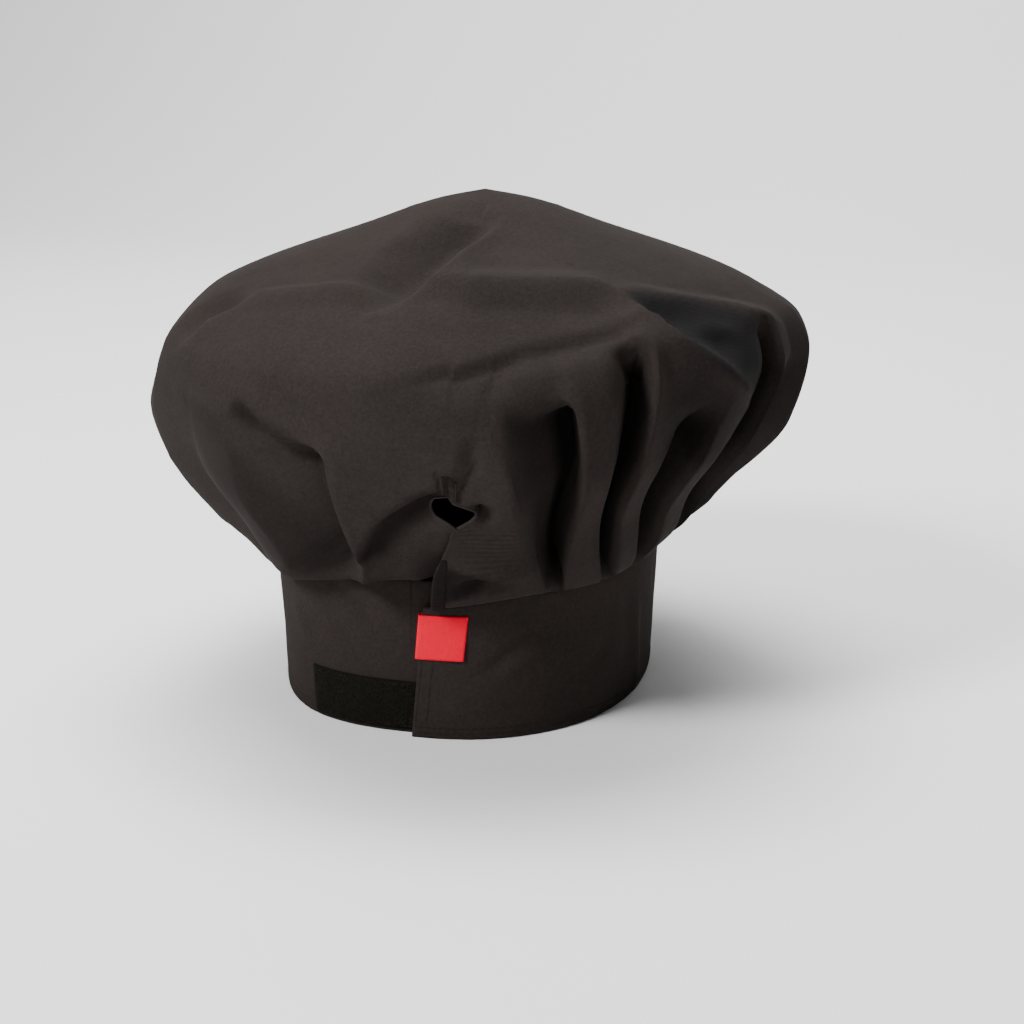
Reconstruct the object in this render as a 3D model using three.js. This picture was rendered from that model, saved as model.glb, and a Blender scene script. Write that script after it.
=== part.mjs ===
// Chef hat: a wide soft crown, pleated into a band that closes with hook and loop tape.
// Millimetres, +Z up. The hat rests on the foot of its band and -Y is the side of the closure.
// Azimuths are in degrees: 0 is -Y, 90 is +X, and they grow on past 360 round to the under end.
import * as THREE from "three";
import { mergeVertices } from "three/addons/utils/BufferGeometryUtils.js";

// Driving sizes
const BAND_LENGTH = 198; // outside of the band at its foot, along Y
const BAND_WIDTH = 175; // the same along X
const BAND_SQUARE = 2.2; // 2 for an ellipse, more for a squarer outline
const BAND_HEIGHT = 68;
const BAND_FLARE = 3; // how far the band leans out at its top
const BAND_WALL = 2;
const CROWN_HEIGHT = 166; // from the top of the band to the peak
const CROWN_WALL = 1.5;
const RIM_REACH = 155; // from the axis of the crown to its widest line
const SHOULDER_REACH = 126; // from the axis to where the wall turns into the top
const CROWN_LEAN = 7.5; // how far the peak has slumped to one side
const LEAN_AZIMUTH = 107;
const FOLD_DEPTH = 10; // the lift or dip of a full fold
const CREASE_DEPTH = 10;
const HEM_OUT = 0.8; // how far the crown's hem stands out from the band below it
const GAP = 0.3; // between two pieces that touch
const LAP_GAP = 0.7; // between the two layers of the crown beside the slit

// The closure of the band
const OUTER_AZIMUTH = { foot: 0.8, top: 4.9 }; // the free edge that shows
const UNDER_END_AZIMUTH = 390; // the hidden edge
const UNDER_RISE = 6; // how much higher the hidden end stands at its top
const UNDER_START_AZIMUTH = 322; // where the under end begins to step in
const UNDER_FULL_AZIMUTH = 362;
const END_DROP = 5; // how much lower the outer end stands at its top
const END_FULL_AZIMUTH = 34; // where the band has its full height
const TAPE_HEIGHT = 23.5;
const TAPE_THICKNESS = 0.8;
const LOOP_TAPE = { from: 330, to: 384, low: 2 };
const HOOK_TAPE = { from: 4, to: 20, low: 2 };

// The label that is folded round the free edge of the band
const LABEL_SIZE = 21;
const LABEL_DROP = 29.5; // from the top of the band down to its lower edge
const LABEL_LOW = BAND_HEIGHT - LABEL_DROP;
const LABEL_THICKNESS = 0.6;
const LABEL_RETURN = 7; // length of its leaf behind the edge
const LABEL_BULGE = 1.2; // how far its fold stands off the edge
const LABEL_ROUND = 0.7; // how far off the edge it is where it turns, as a share of its bulge
const LABEL_TURN = 0.2; // how far its faces have parted there, as a share of the wall

const TOP = BAND_HEIGHT + CROWN_HEIGHT;

// One row for each side of the crown. The reaches are shares of RIM_REACH and SHOULDER_REACH,
// the heights are shares of CROWN_HEIGHT above the band, sag is how far the cloth climbs (or
// hangs, below 0) before it swings out, and belly is how much of its way out to the rim it has
// made a third of the way up.
const SIDES = [
  { azimuth: -118, rim: 0.955, rimUp: 0.45, shoulder: 1.0, shoulderUp: 0.738, sag: 0.025, belly: 0.585 },
  { azimuth: -73, rim: 0.975, rimUp: 0.42, shoulder: 1.0, shoulderUp: 0.738, sag: 0.015, belly: 0.595 },
  { azimuth: -30, rim: 0.955, rimUp: 0.46, shoulder: 0.97, shoulderUp: 0.714, sag: -0.005, belly: 0.58 },
  { azimuth: 17, rim: 0.968, rimUp: 0.5, shoulder: 0.95, shoulderUp: 0.726, sag: 0.012, belly: 0.55 },
  { azimuth: 45, rim: 0.965, rimUp: 0.6, shoulder: 0.96, shoulderUp: 0.763, sag: 0.01, belly: 0.5 },
  { azimuth: 75, rim: 0.965, rimUp: 0.6, shoulder: 1.0, shoulderUp: 0.76, sag: 0.04, belly: 0.45 },
  { azimuth: 107, rim: 0.995, rimUp: 0.56, shoulder: 1.02, shoulderUp: 0.745, sag: 0.045, belly: 0.47 },
  { azimuth: 152, rim: 1.0, rimUp: 0.51, shoulder: 1.0, shoulderUp: 0.73, sag: 0.045, belly: 0.53 },
  { azimuth: 197, rim: 0.995, rimUp: 0.48, shoulder: 0.98, shoulderUp: 0.714, sag: 0.04, belly: 0.55 },
];

// The pleats of the crown as lines that run up from the seam, a row for each ridge (lift above
// 0) or valley. foot, low, belly and rim are its azimuths at FOLD_SHARES, lift is a share of
// FOLD_DEPTH, and full, fade and top are shares of the way to the peak: the line has its full
// lift from full to fade and is gone at top.
const FOLD_SHARES = [0.03, 0.12, 0.24, 0.4];
const FRONT_PLEATS = [
  { foot: 13, low: 12.5, belly: 17, rim: 14, lift: 0, full: 0.1, fade: 0.2, top: 0.4 },
  { foot: 26.5, low: 24.5, belly: 23, rim: 17.5, lift: 0.3, full: 0.12, fade: 0.24, top: 0.4 },
  { foot: 34, low: 29, belly: 24.5, rim: 19, lift: 0, full: 0.1, fade: 0.36, top: 0.42 },
  { foot: 35.5, low: 31, belly: 28, rim: 23, lift: -0.9, full: 0.06, fade: 0.37, top: 0.41 },
  { foot: 37, low: 33, belly: 32, rim: 28.5, lift: -2, full: 0.06, fade: 0.37, top: 0.41 },
  { foot: 38.5, low: 35, belly: 34, rim: 30.5, lift: 0.4, full: 0.14, fade: 0.36, top: 0.5 },
  { foot: 49.5, low: 43, belly: 39, rim: 37.5, lift: 0.15, full: 0.12, fade: 0.4, top: 0.5 },
  { foot: 52, low: 45, belly: 41.5, rim: 41.5, lift: -2.2, full: 0.06, fade: 0.44, top: 0.485 },
  { foot: 54, low: 47.5, belly: 43.5, rim: 44.5, lift: 0.4, full: 0.14, fade: 0.42, top: 0.55 },
  { foot: 61, low: 54, belly: 48, rim: 47, lift: 0.1, full: 0.1, fade: 0.34, top: 0.42 },
  { foot: 67, low: 58, belly: 53.5, rim: 55, lift: -1.8, full: 0.06, fade: 0.31, top: 0.38 },
  { foot: 70, low: 60.5, belly: 56, rim: 60, lift: 0.4, full: 0.14, fade: 0.34, top: 0.46 },
  { foot: 83, low: 70, belly: 61, rim: 64, lift: 0.25, full: 0.12, fade: 0.42, top: 0.52 },
  { foot: 87, low: 74, belly: 65, rim: 68, lift: -2, full: 0.06, fade: 0.43, top: 0.49 },
  { foot: 90, low: 77, belly: 68, rim: 72, lift: 0.35, full: 0.14, fade: 0.4, top: 0.52 },
  { foot: 96, low: 84, belly: 76, rim: 80, lift: -0.6, full: 0.08, fade: 0.36, top: 0.42 },
  { foot: 100, low: 92, belly: 89, rim: 90, lift: 0.4, full: 0.12, fade: 0.4, top: 0.55 },
];
const LEFT_PLEATS = [
  { foot: 298, low: 299, belly: 299, rim: 299, lift: 0.3, full: 0.12, fade: 0.4, top: 0.55 },
  { foot: 319, low: 313, belly: 311, rim: 316, lift: -0.6, full: 0.1, fade: 0.32, top: 0.42 },
  { foot: 329, low: 335, belly: 332, rim: 332, lift: 0.35, full: 0.14, fade: 0.31, top: 0.42 },
  { foot: 346, low: 350, belly: 348.5, rim: 346, lift: -1.2, full: 0.1, fade: 0.3, top: 0.345 },
  { foot: 350, low: 354.5, belly: 353.5, rim: 352, lift: 0.5, full: 0.1, fade: 0.3, top: 0.38 },
  { foot: 357, low: 359.5, belly: 360, rim: 360, lift: 0.2, full: 0.12, fade: 0.25, top: 0.4 },
  { foot: 365.5, low: 365.5, belly: 366, rim: 367, lift: 0, full: 0.1, fade: 0.2, top: 0.4 },
];
// The plain pleats between them, round the sides and the back
const PLAIN_PLEATS = { from: 101, to: 293, count: 12, ridge: 0.45, valley: -0.8, top: 0.46 };
const PLAIN_FULL = 0.1; // where a plain pleat has its full lift
const PLAIN_FADE = 0.12; // how far below its top it begins to fade
// How the plain pleats differ: the size of each change, and its turn in radians from one line
// to the next
const PLAIN_SWAY = { size: 2.2, turn: 2.3, start: 0.6 };
const PLAIN_LIFT = { size: 0.3, turn: 1.7 };
const PLAIN_TOP = { size: 0.05, turn: 2.9 };

// The edges of the slit above the closure, from the seam up to the point where they join.
// The right edge laps over the left one and the two part again round the vent.
const SLIT = [
  { share: 0, right: 7, left: UNDER_END_AZIMUTH, under: 1 },
  { share: 0.1, right: 8.3, left: 382, under: 1 },
  { share: 0.17, right: 11.5, left: 375, under: 0.8 },
  { share: 0.21, right: 13.5, left: 372.6, under: 0 },
  { share: 0.235, right: 17, left: 368.8, under: 0 },
  { share: 0.255, right: 16, left: 369.5, under: 0 },
  { share: 0.275, right: 12, left: 372, under: 0 },
];

// Creases that cross the pleats, as lines through three places (azimuth, share of the way to
// the peak). lift is a share of CREASE_DEPTH, left and right are the reach to either side of
// the way along the line as shares of RIM_REACH, and crisp goes from 0 for a round wave to 1
// for a sharp fold.
const CREASES = [
  { path: [[2, 0.665], [28, 0.625], [46, 0.59]], lift: 0.65, left: 0.16, right: 0.12, crisp: 0.5 },
  { path: [[46, 0.59], [60, 0.54], [80, 0.46]], lift: 0.45, left: 0.1, right: 0.07, crisp: 0.8 },
  { path: [[45, 0.585], [50, 0.47], [66, 0.37]], lift: 0.6, left: 0.05, right: 0.12, crisp: 1 },
  { path: [[51, 0.555], [57, 0.48], [66, 0.43]], lift: -0.7, left: 0.07, right: 0.1, crisp: 0 },
  { path: [[12, 0.86], [-1, 0.765], [-7, 0.6]], lift: -1.1, left: 0.08, right: 0.18, crisp: 0.15 },
  { path: [[14, 0.85], [3, 0.755], [2, 0.665]], lift: 0.25, left: 0.12, right: 0.07, crisp: 0.4 },
  { path: [[-6, 0.64], [-24, 0.615], [-46, 0.56]], lift: 0.3, left: 0.1, right: 0.08, crisp: 0.2 },
  { path: [[-46, 0.56], [-53, 0.505], [-53, 0.45]], lift: -0.5, left: 0.05, right: 0.09, crisp: 0.6 },
  { path: [[46, 0.505], [24, 0.49], [4, 0.43]], lift: -0.35, left: 0.12, right: 0.04, crisp: 0.7 },
  { path: [[20, 0.49], [19, 0.45], [17, 0.4]], lift: -0.1, left: 0.06, right: 0.02, crisp: 0.3 },
  { path: [[-27, 0.385], [-19, 0.33], [-9, 0.31]], lift: -0.5, left: 0.035, right: 0.07, crisp: 0.8 },
  { path: [[-6, 0.08], [1, 0.21], [12, 0.275]], lift: -0.75, left: 0.03, right: 0.12, crisp: 0.9 },
  { path: [[-30, 0.06], [-20, 0.1], [-8, 0.14]], lift: -0.35, left: 0.03, right: 0.05, crisp: 0.5 },
  { path: [[17, 0.265], [18, 0.25], [18.5, 0.23]], lift: -0.6, left: 0.03, right: 0.03, crisp: 0 },
  { path: [[13, 0.285], [15, 0.31], [16.5, 0.37]], lift: -0.25, left: 0.05, right: 0.03, crisp: 0.4 },
  { path: [[14, 0.085], [19, 0.08], [25, 0.07]], lift: -0.7, left: 0.05, right: 0.06, crisp: 0.3 },
  { path: [[11, 0.125], [18, 0.125], [25, 0.115]], lift: 0.4, left: 0.06, right: 0.025, crisp: 0.9 },
];

// Rows of the crown's mesh, as shares of the way from the seam to the peak
const CROWN_ROWS = [
  0, 0.012, 0.035, 0.065, 0.095, 0.12, 0.145, 0.175, 0.21, 0.235, 0.255, 0.275, 0.305, 0.335,
  0.365, 0.39, 0.415, 0.445, 0.48, 0.52, 0.56, 0.61, 0.67, 0.74, 0.82, 0.91, 1,
];
const JOINED_ROW = 11; // the row where the edges of the slit join
const COLUMN_ANGLE = 4.3; // degrees from one column of the mesh to the next, about
const LAP_START_AZIMUTH = 363; // azimuths between which the left side dives under the right one
const LAP_FULL_AZIMUTH = 369;
const CLIMB = 2.1 * CROWN_HEIGHT; // about the length of the cloth from the seam to the peak
const CREASE_END = 0.25; // what is left of a crease at its ends
const SHARE_STEP = 0.004; // the step to either side that gives the slope of the cloth
const NEAR_PEAK = 0.98; // above this share the direction out of the cloth stays as it is here
const BAND_COLUMNS = 80;
const BAND_ROWS = 3;
const TAPE_COLUMNS = 12;
const LEAST_AREA = 1e-6; // triangles below it are left out
const MERGE = 1e-4; // points closer than this are one

const heading = (azimuth) => {
  const angle = THREE.MathUtils.degToRad(azimuth);
  return new THREE.Vector2(Math.sin(angle), -Math.cos(angle));
};

// A smooth curve without overshoot through (xs, ys), at x: monotone cubic pieces
function through(xs, ys, x) {
  const last = xs.length - 1;
  if (x <= xs[0]) return ys[0];
  if (x >= xs[last]) return ys[last];
  const step = (i) => xs[i + 1] - xs[i];
  const slope = (i) => (ys[i + 1] - ys[i]) / step(i);
  const tangent = (i) => {
    if (i === 0) return slope(0);
    if (i === last) return slope(last - 1);
    const [before, after] = [slope(i - 1), slope(i)];
    if (before * after <= 0) return 0;
    const early = 2 * step(i) + step(i - 1);
    const late = step(i) + 2 * step(i - 1);
    return (early + late) / (early / before + late / after);
  };
  let i = 0;
  while (x > xs[i + 1]) i += 1;
  const t = (x - xs[i]) / step(i);
  const [a, b] = [tangent(i) * step(i), tangent(i + 1) * step(i)];
  const rise = ys[i + 1] - ys[i];
  return ys[i] + t * (a + t * (3 * rise - 2 * a - b + t * (a + b - 2 * rise)));
}

// A column of SIDES at any azimuth, smooth all the way round
function side(column, azimuth) {
  const first = SIDES[0].azimuth;
  const turned = first + THREE.MathUtils.euclideanModulo(azimuth - first, 360);
  const rows = [-360, 0, 360].flatMap((turn) =>
    SIDES.map((row) => [row.azimuth + turn, row[column]]),
  );
  return through(rows.map((row) => row[0]), rows.map((row) => row[1]), turned);
}

// How far the under end of the band has stepped in behind the outer end, from 0 to 1
const stepIn = (azimuth) => THREE.MathUtils.smoothstep(azimuth, UNDER_START_AZIMUTH, UNDER_FULL_AZIMUTH);
const LAYERS = BAND_WALL + 3 * GAP + 2 * TAPE_THICKNESS;

// A point of the band: its outside at an azimuth and a height, moved out by offset
function onBand(azimuth, height, offset = 0) {
  const lean = (BAND_FLARE * height) / BAND_HEIGHT;
  const across = BAND_WIDTH / 2 + lean;
  const along = BAND_LENGTH / 2 + lean;
  const way = heading(azimuth);
  const bent = Math.abs(way.x / across) ** BAND_SQUARE + Math.abs(way.y / along) ** BAND_SQUARE;
  const radius = bent ** (-1 / BAND_SQUARE);
  const out = way.multiplyScalar(radius + offset - LAYERS * stepIn(azimuth));
  return new THREE.Vector3(out.x, out.y, height);
}
function bandTop(azimuth) {
  const drop = END_DROP * (1 - THREE.MathUtils.smoothstep(azimuth, OUTER_AZIMUTH.top, END_FULL_AZIMUTH));
  return BAND_HEIGHT + UNDER_RISE * stepIn(azimuth) - drop;
}

// The smooth form of the crown before it folds, at an azimuth and a share of the way up
const PEAK_DRIFT = 1.6;
function crownForm(azimuth, share) {
  const seam = onBand(azimuth, BAND_HEIGHT);
  const seamReach = Math.hypot(seam.x, seam.y);
  const full = seamReach + LAYERS * stepIn(azimuth);
  const base = bandTop(azimuth) + GAP;
  const rimUp = BAND_HEIGHT + CROWN_HEIGHT * side("rimUp", azimuth);
  const shoulderUp = BAND_HEIGHT + CROWN_HEIGHT * side("shoulderUp", azimuth);
  const rim = RIM_REACH * side("rim", azimuth);
  const shoulder = SHOULDER_REACH * side("shoulder", azimuth);
  const sag = CROWN_HEIGHT * side("sag", azimuth);
  const belly = side("belly", azimuth);
  const [wall, turn, lid] = [rim - full, rim - shoulder, TOP - shoulderUp];
  const rise = rimUp - BAND_HEIGHT;
  const drift = CROWN_LEAN / PEAK_DRIFT;
  const arch = shoulderUp - rimUp;
  const knots = [
    { reach: seamReach - BAND_WALL, height: base, moved: 0 },
    { reach: seamReach + HEM_OUT, height: base, moved: 0 },
    { reach: seamReach + 0.12 * wall, height: base + sag, moved: 0.1 },
    { reach: full + belly * wall, height: BAND_HEIGHT + 0.36 * rise, moved: 0.5 },
    { reach: full + 0.9 * wall, height: BAND_HEIGHT + 0.7 * rise, moved: 0.9 },
    { reach: rim, height: rimUp, moved: 1 },
    { reach: rim - 0.22 * turn, height: rimUp + 0.55 * arch, moved: 1.05 },
    { reach: shoulder, height: shoulderUp, moved: 1.2 },
    { reach: 0.9 * shoulder, height: shoulderUp + 0.15 * lid, moved: 1.25 },
    { reach: 0.45 * shoulder, height: shoulderUp + 0.62 * lid, moved: 1.5 },
    { reach: 0.17 * shoulder, height: shoulderUp + 0.9 * lid, moved: PEAK_DRIFT },
    { reach: 0, height: TOP, moved: PEAK_DRIFT },
  ];
  const lengths = [0];
  for (let i = 1; i < knots.length; i += 1) {
    const [a, b] = [knots[i - 1], knots[i]];
    lengths.push(lengths[i - 1] + Math.hypot(b.reach - a.reach, b.height - a.height));
  }
  const along = share * lengths.at(-1);
  const [reach, height, moved] = ["reach", "height", "moved"].map((column) =>
    through(lengths, knots.map((knot) => knot[column]), along),
  );
  const out = heading(azimuth).multiplyScalar(reach);
  out.addScaledVector(heading(LEAN_AZIMUTH), moved * drift);
  return new THREE.Vector3(out.x, out.y, height);
}

// The direction out of the cloth at a place of the smooth form
function crownOut(azimuth, share) {
  const low = Math.max(0, share - SHARE_STEP);
  const high = Math.min(NEAR_PEAK, share + SHARE_STEP);
  const at = Math.min(share, NEAR_PEAK);
  const up = crownForm(azimuth, Math.max(high, low + SHARE_STEP)).sub(crownForm(azimuth, low));
  const round = crownForm(azimuth + 1, at).sub(crownForm(azimuth - 1, at));
  return round.cross(up).normalize();
}

// All lines of pleats in order round the hat
function pleatLines() {
  const plain = [];
  const { from, to, count, ridge, valley, top } = PLAIN_PLEATS;
  for (let i = 0; i < 2 * count; i += 1) {
    const middle = from + ((to - from) * (i + 0.5)) / (2 * count);
    const sway = PLAIN_SWAY.size * Math.sin(PLAIN_SWAY.turn * i + PLAIN_SWAY.start);
    const vary = 1 + PLAIN_LIFT.size * Math.sin(PLAIN_LIFT.turn * i);
    const end = top + PLAIN_TOP.size * Math.sin(PLAIN_TOP.turn * i);
    plain.push({
      foot: middle - 0.5 * sway,
      low: middle,
      belly: middle + 0.5 * sway,
      rim: middle + sway,
      lift: vary * (i % 2 ? ridge : valley),
      full: PLAIN_FULL,
      fade: end - PLAIN_FADE,
      top: end,
    });
  }
  return [...FRONT_PLEATS, ...plain, ...LEFT_PLEATS];
}

const HEM_SHARE = CROWN_ROWS[1]; // up to here the cloth lies flat on top of the band
function pleatAt(line, share) {
  const azimuth = through(FOLD_SHARES, [line.foot, line.low, line.belly, line.rim], share);
  const rise = THREE.MathUtils.smoothstep(share, HEM_SHARE, line.full);
  const fall = 1 - THREE.MathUtils.smoothstep(share, line.fade, line.top);
  return { azimuth, lift: FOLD_DEPTH * line.lift * rise * fall };
}

// A column of SLIT at a share of the way up
const slit = (column, share) =>
  through(SLIT.map((row) => row.share), SLIT.map((row) => row[column]), share);

// How many columns each stretch has, from the slit over all lines back to the slit
function columnsBetween(lines) {
  const middles = [
    slit("right", FOLD_SHARES[1]),
    ...lines.map((line) => line.belly),
    slit("left", FOLD_SHARES[1]),
  ];
  return middles.slice(1).map((to, i) => Math.max(1, Math.round((to - middles[i]) / COLUMN_ANGLE)));
}

// The places of one row of the mesh: the two edges of the slit, the lines of the pleats
// between them, and the columns from each to the next
function rowPlaces(share, lines, columns) {
  const stops = [
    { azimuth: slit("right", share), lift: 0 },
    ...lines.map((line) => pleatAt(line, share)),
    { azimuth: slit("left", share), lift: 0 },
  ];
  const places = [];
  columns.forEach((count, i) => {
    for (let k = 0; k < count; k += 1) {
      places.push({
        azimuth: THREE.MathUtils.lerp(stops[i].azimuth, stops[i + 1].azimuth, k / count),
        lift: THREE.MathUtils.lerp(stops[i].lift, stops[i + 1].lift, k / count),
      });
    }
  });
  places.push(stops.at(-1));
  return places;
}

// The lift of all creases at a place, where reach is its distance from the axis
function creaseLift(azimuth, share, reach) {
  let sum = 0;
  for (const { path, lift, left, right, crisp } of CREASES) {
    const middle = path[1][0];
    const turn = THREE.MathUtils.euclideanModulo(azimuth - middle + 180, 360) - 180;
    const places = path.map(([around, up]) => {
      const across = THREE.MathUtils.degToRad(around - middle - turn) * reach;
      return new THREE.Vector2(across, (up - share) * CLIMB);
    });
    let nearest = Infinity;
    let where = 0;
    let width = left;
    for (let i = 0; i + 1 < places.length; i += 1) {
      const line = places[i + 1].clone().sub(places[i]);
      const t = THREE.MathUtils.clamp(-places[i].dot(line) / line.lengthSq(), 0, 1);
      const distance = places[i].clone().addScaledVector(line, t).length();
      if (distance < nearest) {
        nearest = distance;
        where = (i + t) / (places.length - 1);
        width = line.y * places[i].x > line.x * places[i].y ? left : right;
      }
    }
    const near = Math.max(0, 1 - nearest / (width * RIM_REACH));
    const taper = Math.min(1, 4 * where * (1 - where) + CREASE_END);
    const wave = THREE.MathUtils.smoothstep(near, 0, 1);
    sum += CREASE_DEPTH * lift * taper * THREE.MathUtils.lerp(wave, near, crisp);
  }
  return sum;
}

// The outside and the inside of the crown as two grids of points
function crownGrids() {
  const lines = pleatLines();
  const columns = columnsBetween(lines);
  const outside = [];
  const inside = [];
  for (const share of CROWN_ROWS) {
    const lap = slit("under", share) * (CROWN_WALL + LAP_GAP);
    const folded = share > HEM_SHARE && share < 1 ? 1 : 0;
    const rows = [[], []];
    for (const { azimuth, lift } of rowPlaces(share, lines, columns)) {
      const place = crownForm(azimuth, share);
      const out = crownOut(azimuth, share);
      const raised = lift + creaseLift(azimuth, share, Math.hypot(place.x, place.y));
      const sunk = lap * THREE.MathUtils.smoothstep(azimuth, LAP_START_AZIMUTH, LAP_FULL_AZIMUTH);
      place.addScaledVector(out, folded * raised - sunk);
      rows[0].push(place);
      rows[1].push(place.clone().addScaledVector(out, -CROWN_WALL));
    }
    outside.push(rows[0]);
    inside.push(rows[1]);
  }
  return { outside, inside };
}

// A closed geometry from triangles of points, without those that have no area
function closed(triangles) {
  const flat = [];
  for (const [a, b, c] of triangles) {
    const area = b.clone().sub(a).cross(c.clone().sub(a)).length();
    if (area > LEAST_AREA) flat.push(...a.toArray(), ...b.toArray(), ...c.toArray());
  }
  const geometry = new THREE.BufferGeometry();
  geometry.setAttribute("position", new THREE.Float32BufferAttribute(flat, 3));
  return mergeVertices(geometry, MERGE);
}

// The quads between two rows of points, facing to the side where a to b turns left round up
function strip(lower, upper, flip) {
  const triangles = [];
  for (let i = 0; i + 1 < lower.length; i += 1) {
    const quad = [lower[i], lower[i + 1], upper[i + 1], upper[i]];
    const [a, b, c, d] = flip ? quad.reverse() : quad;
    triangles.push([a, b, c], [a, c, d]);
  }
  return triangles;
}

// A slab between two grids. Rows from openFrom up have no side walls, because they meet.
function slab(outside, inside, openFrom = outside.length) {
  const triangles = [];
  for (let j = 0; j + 1 < outside.length; j += 1) {
    triangles.push(...strip(outside[j], outside[j + 1], false));
    triangles.push(...strip(inside[j], inside[j + 1], true));
  }
  const column = (grid, i) => grid.slice(0, openFrom + 1).map((row) => row.at(i));
  triangles.push(...strip(outside[0], inside[0], true));
  if (openFrom >= outside.length) {
    triangles.push(...strip(outside.at(-1), inside.at(-1), false));
  }
  triangles.push(...strip(column(outside, 0), column(inside, 0), false));
  triangles.push(...strip(column(outside, -1), column(inside, -1), true));
  return closed(triangles);
}

function crown() {
  const { outside, inside } = crownGrids();
  for (const grid of [outside, inside]) {
    for (let j = JOINED_ROW; j < grid.length; j += 1) grid[j][grid[j].length - 1] = grid[j][0];
    grid[grid.length - 1].fill(grid.at(-1)[0]);
  }
  return slab(outside, inside, JOINED_ROW);
}

// A slab that follows the band, where place gives the azimuth and height at two shares
function onBandSlab(columns, rows, place, outer, inner) {
  const grid = (offset) => {
    const points = [];
    for (let j = 0; j <= rows; j += 1) {
      const row = [];
      for (let i = 0; i <= columns; i += 1) {
        const [azimuth, height] = place(i / columns, j / rows);
        row.push(onBand(azimuth, height, offset));
      }
      points.push(row);
    }
    return points;
  };
  return slab(grid(outer), grid(inner));
}

function band() {
  const place = (i, j) => {
    const start = THREE.MathUtils.lerp(OUTER_AZIMUTH.foot, OUTER_AZIMUTH.top, j);
    const azimuth = THREE.MathUtils.lerp(start, UNDER_END_AZIMUTH, i);
    return [azimuth, j * bandTop(azimuth)];
  };
  return onBandSlab(BAND_COLUMNS, BAND_ROWS, place, 0, -BAND_WALL);
}

function tape({ from, to, low }, inner) {
  const place = (i, j) => {
    const azimuth = THREE.MathUtils.lerp(from, to, i);
    return [azimuth, low + j * TAPE_HEIGHT];
  };
  return onBandSlab(TAPE_COLUMNS, 1, place, inner + TAPE_THICKNESS, inner);
}

// The label: a strip that runs along the inside, round the leaning edge and back outside
function label() {
  const [front, back] = [GAP, -BAND_WALL - GAP];
  const middle = (front + back) / 2;
  const edgeAt = (height) =>
    THREE.MathUtils.lerp(OUTER_AZIMUTH.foot, OUTER_AZIMUTH.top, height / BAND_HEIGHT);
  const centre = LABEL_LOW + LABEL_SIZE / 2;
  const perDegree = onBand(0, centre).distanceTo(onBand(1, centre));
  const round = LABEL_ROUND * LABEL_BULGE;
  const turn = LABEL_TURN * BAND_WALL;
  const thick = LABEL_THICKNESS;
  // Each face from the end behind the edge to the end in front, as places [past, offset]: the
  // way past the edge of the band and the offset from its outside
  const path = [
    { inner: [LABEL_RETURN, back], outer: [LABEL_RETURN, back - thick] },
    { inner: [0, back], outer: [0, back - thick] },
    { inner: [-round, back + turn], outer: [-round, back - turn] },
    { inner: [-LABEL_BULGE, middle], outer: [-LABEL_BULGE - thick, middle] },
    { inner: [-round, front - turn], outer: [-round, front + turn] },
    { inner: [0, front], outer: [0, front + thick] },
    { inner: [LABEL_SIZE / 2, front], outer: [LABEL_SIZE / 2, front + thick] },
    { inner: [LABEL_SIZE, front], outer: [LABEL_SIZE, front + thick] },
  ];
  const grid = (face) =>
    [0, 0.5, 1].map((j) => {
      const height = LABEL_LOW + j * LABEL_SIZE;
      return path.map((row) => {
        const [past, offset] = row[face];
        return onBand(edgeAt(height) + past / perDegree, height, offset);
      });
    });
  return slab(grid("outer"), grid("inner"));
}

function named(name, geometry, color, roughness) {
  const material = new THREE.MeshStandardMaterial({ color, roughness, metalness: 0 });
  const mesh = new THREE.Mesh(geometry, material);
  mesh.name = name;
  return mesh;
}

const hat = new THREE.Group();
hat.add(named("crown", crown(), 0x2d2a29, 0.9));
hat.add(named("band", band(), 0x2b2725, 0.9));
const backOfOuterEnd = -BAND_WALL - GAP - TAPE_THICKNESS;
hat.add(named("hook_tape", tape(HOOK_TAPE, backOfOuterEnd), 0x1c1a18, 0.95));
hat.add(named("loop_tape", tape(LOOP_TAPE, GAP), 0x191611, 1));
hat.add(named("label", label(), 0xe7022b, 0.8));

const box = new THREE.Box3().setFromObject(hat);
const centre = box.getCenter(new THREE.Vector3());
hat.position.set(-centre.x, -centre.y, -box.min.z);
export default hat;
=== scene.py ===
"""The looks of a soft black chef hat: a wide crown pleated into a band with a taped closure.

Metres, +Z up, -Y is the side of the closure. Azimuths are in degrees: 0 is -Y, 90 is +X, and
they grow on past 360 round to the under end of the band.
"""
import math

import bpy
import numpy as np
from mathutils import Matrix, Vector


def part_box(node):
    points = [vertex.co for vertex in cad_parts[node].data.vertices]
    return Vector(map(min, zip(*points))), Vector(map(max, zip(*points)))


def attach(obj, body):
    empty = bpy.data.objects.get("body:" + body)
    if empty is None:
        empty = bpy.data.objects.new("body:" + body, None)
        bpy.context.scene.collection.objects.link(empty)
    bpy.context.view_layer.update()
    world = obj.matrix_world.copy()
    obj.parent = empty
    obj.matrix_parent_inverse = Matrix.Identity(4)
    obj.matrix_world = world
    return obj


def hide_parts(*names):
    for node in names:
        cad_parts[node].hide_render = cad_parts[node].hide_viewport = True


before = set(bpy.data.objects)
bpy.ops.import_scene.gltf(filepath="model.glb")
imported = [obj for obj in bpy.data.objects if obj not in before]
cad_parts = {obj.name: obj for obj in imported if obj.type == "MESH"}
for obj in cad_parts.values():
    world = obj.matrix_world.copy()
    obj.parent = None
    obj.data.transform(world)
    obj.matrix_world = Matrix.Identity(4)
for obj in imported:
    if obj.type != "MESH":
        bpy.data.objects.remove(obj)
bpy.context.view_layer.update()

MM = 0.001

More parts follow.
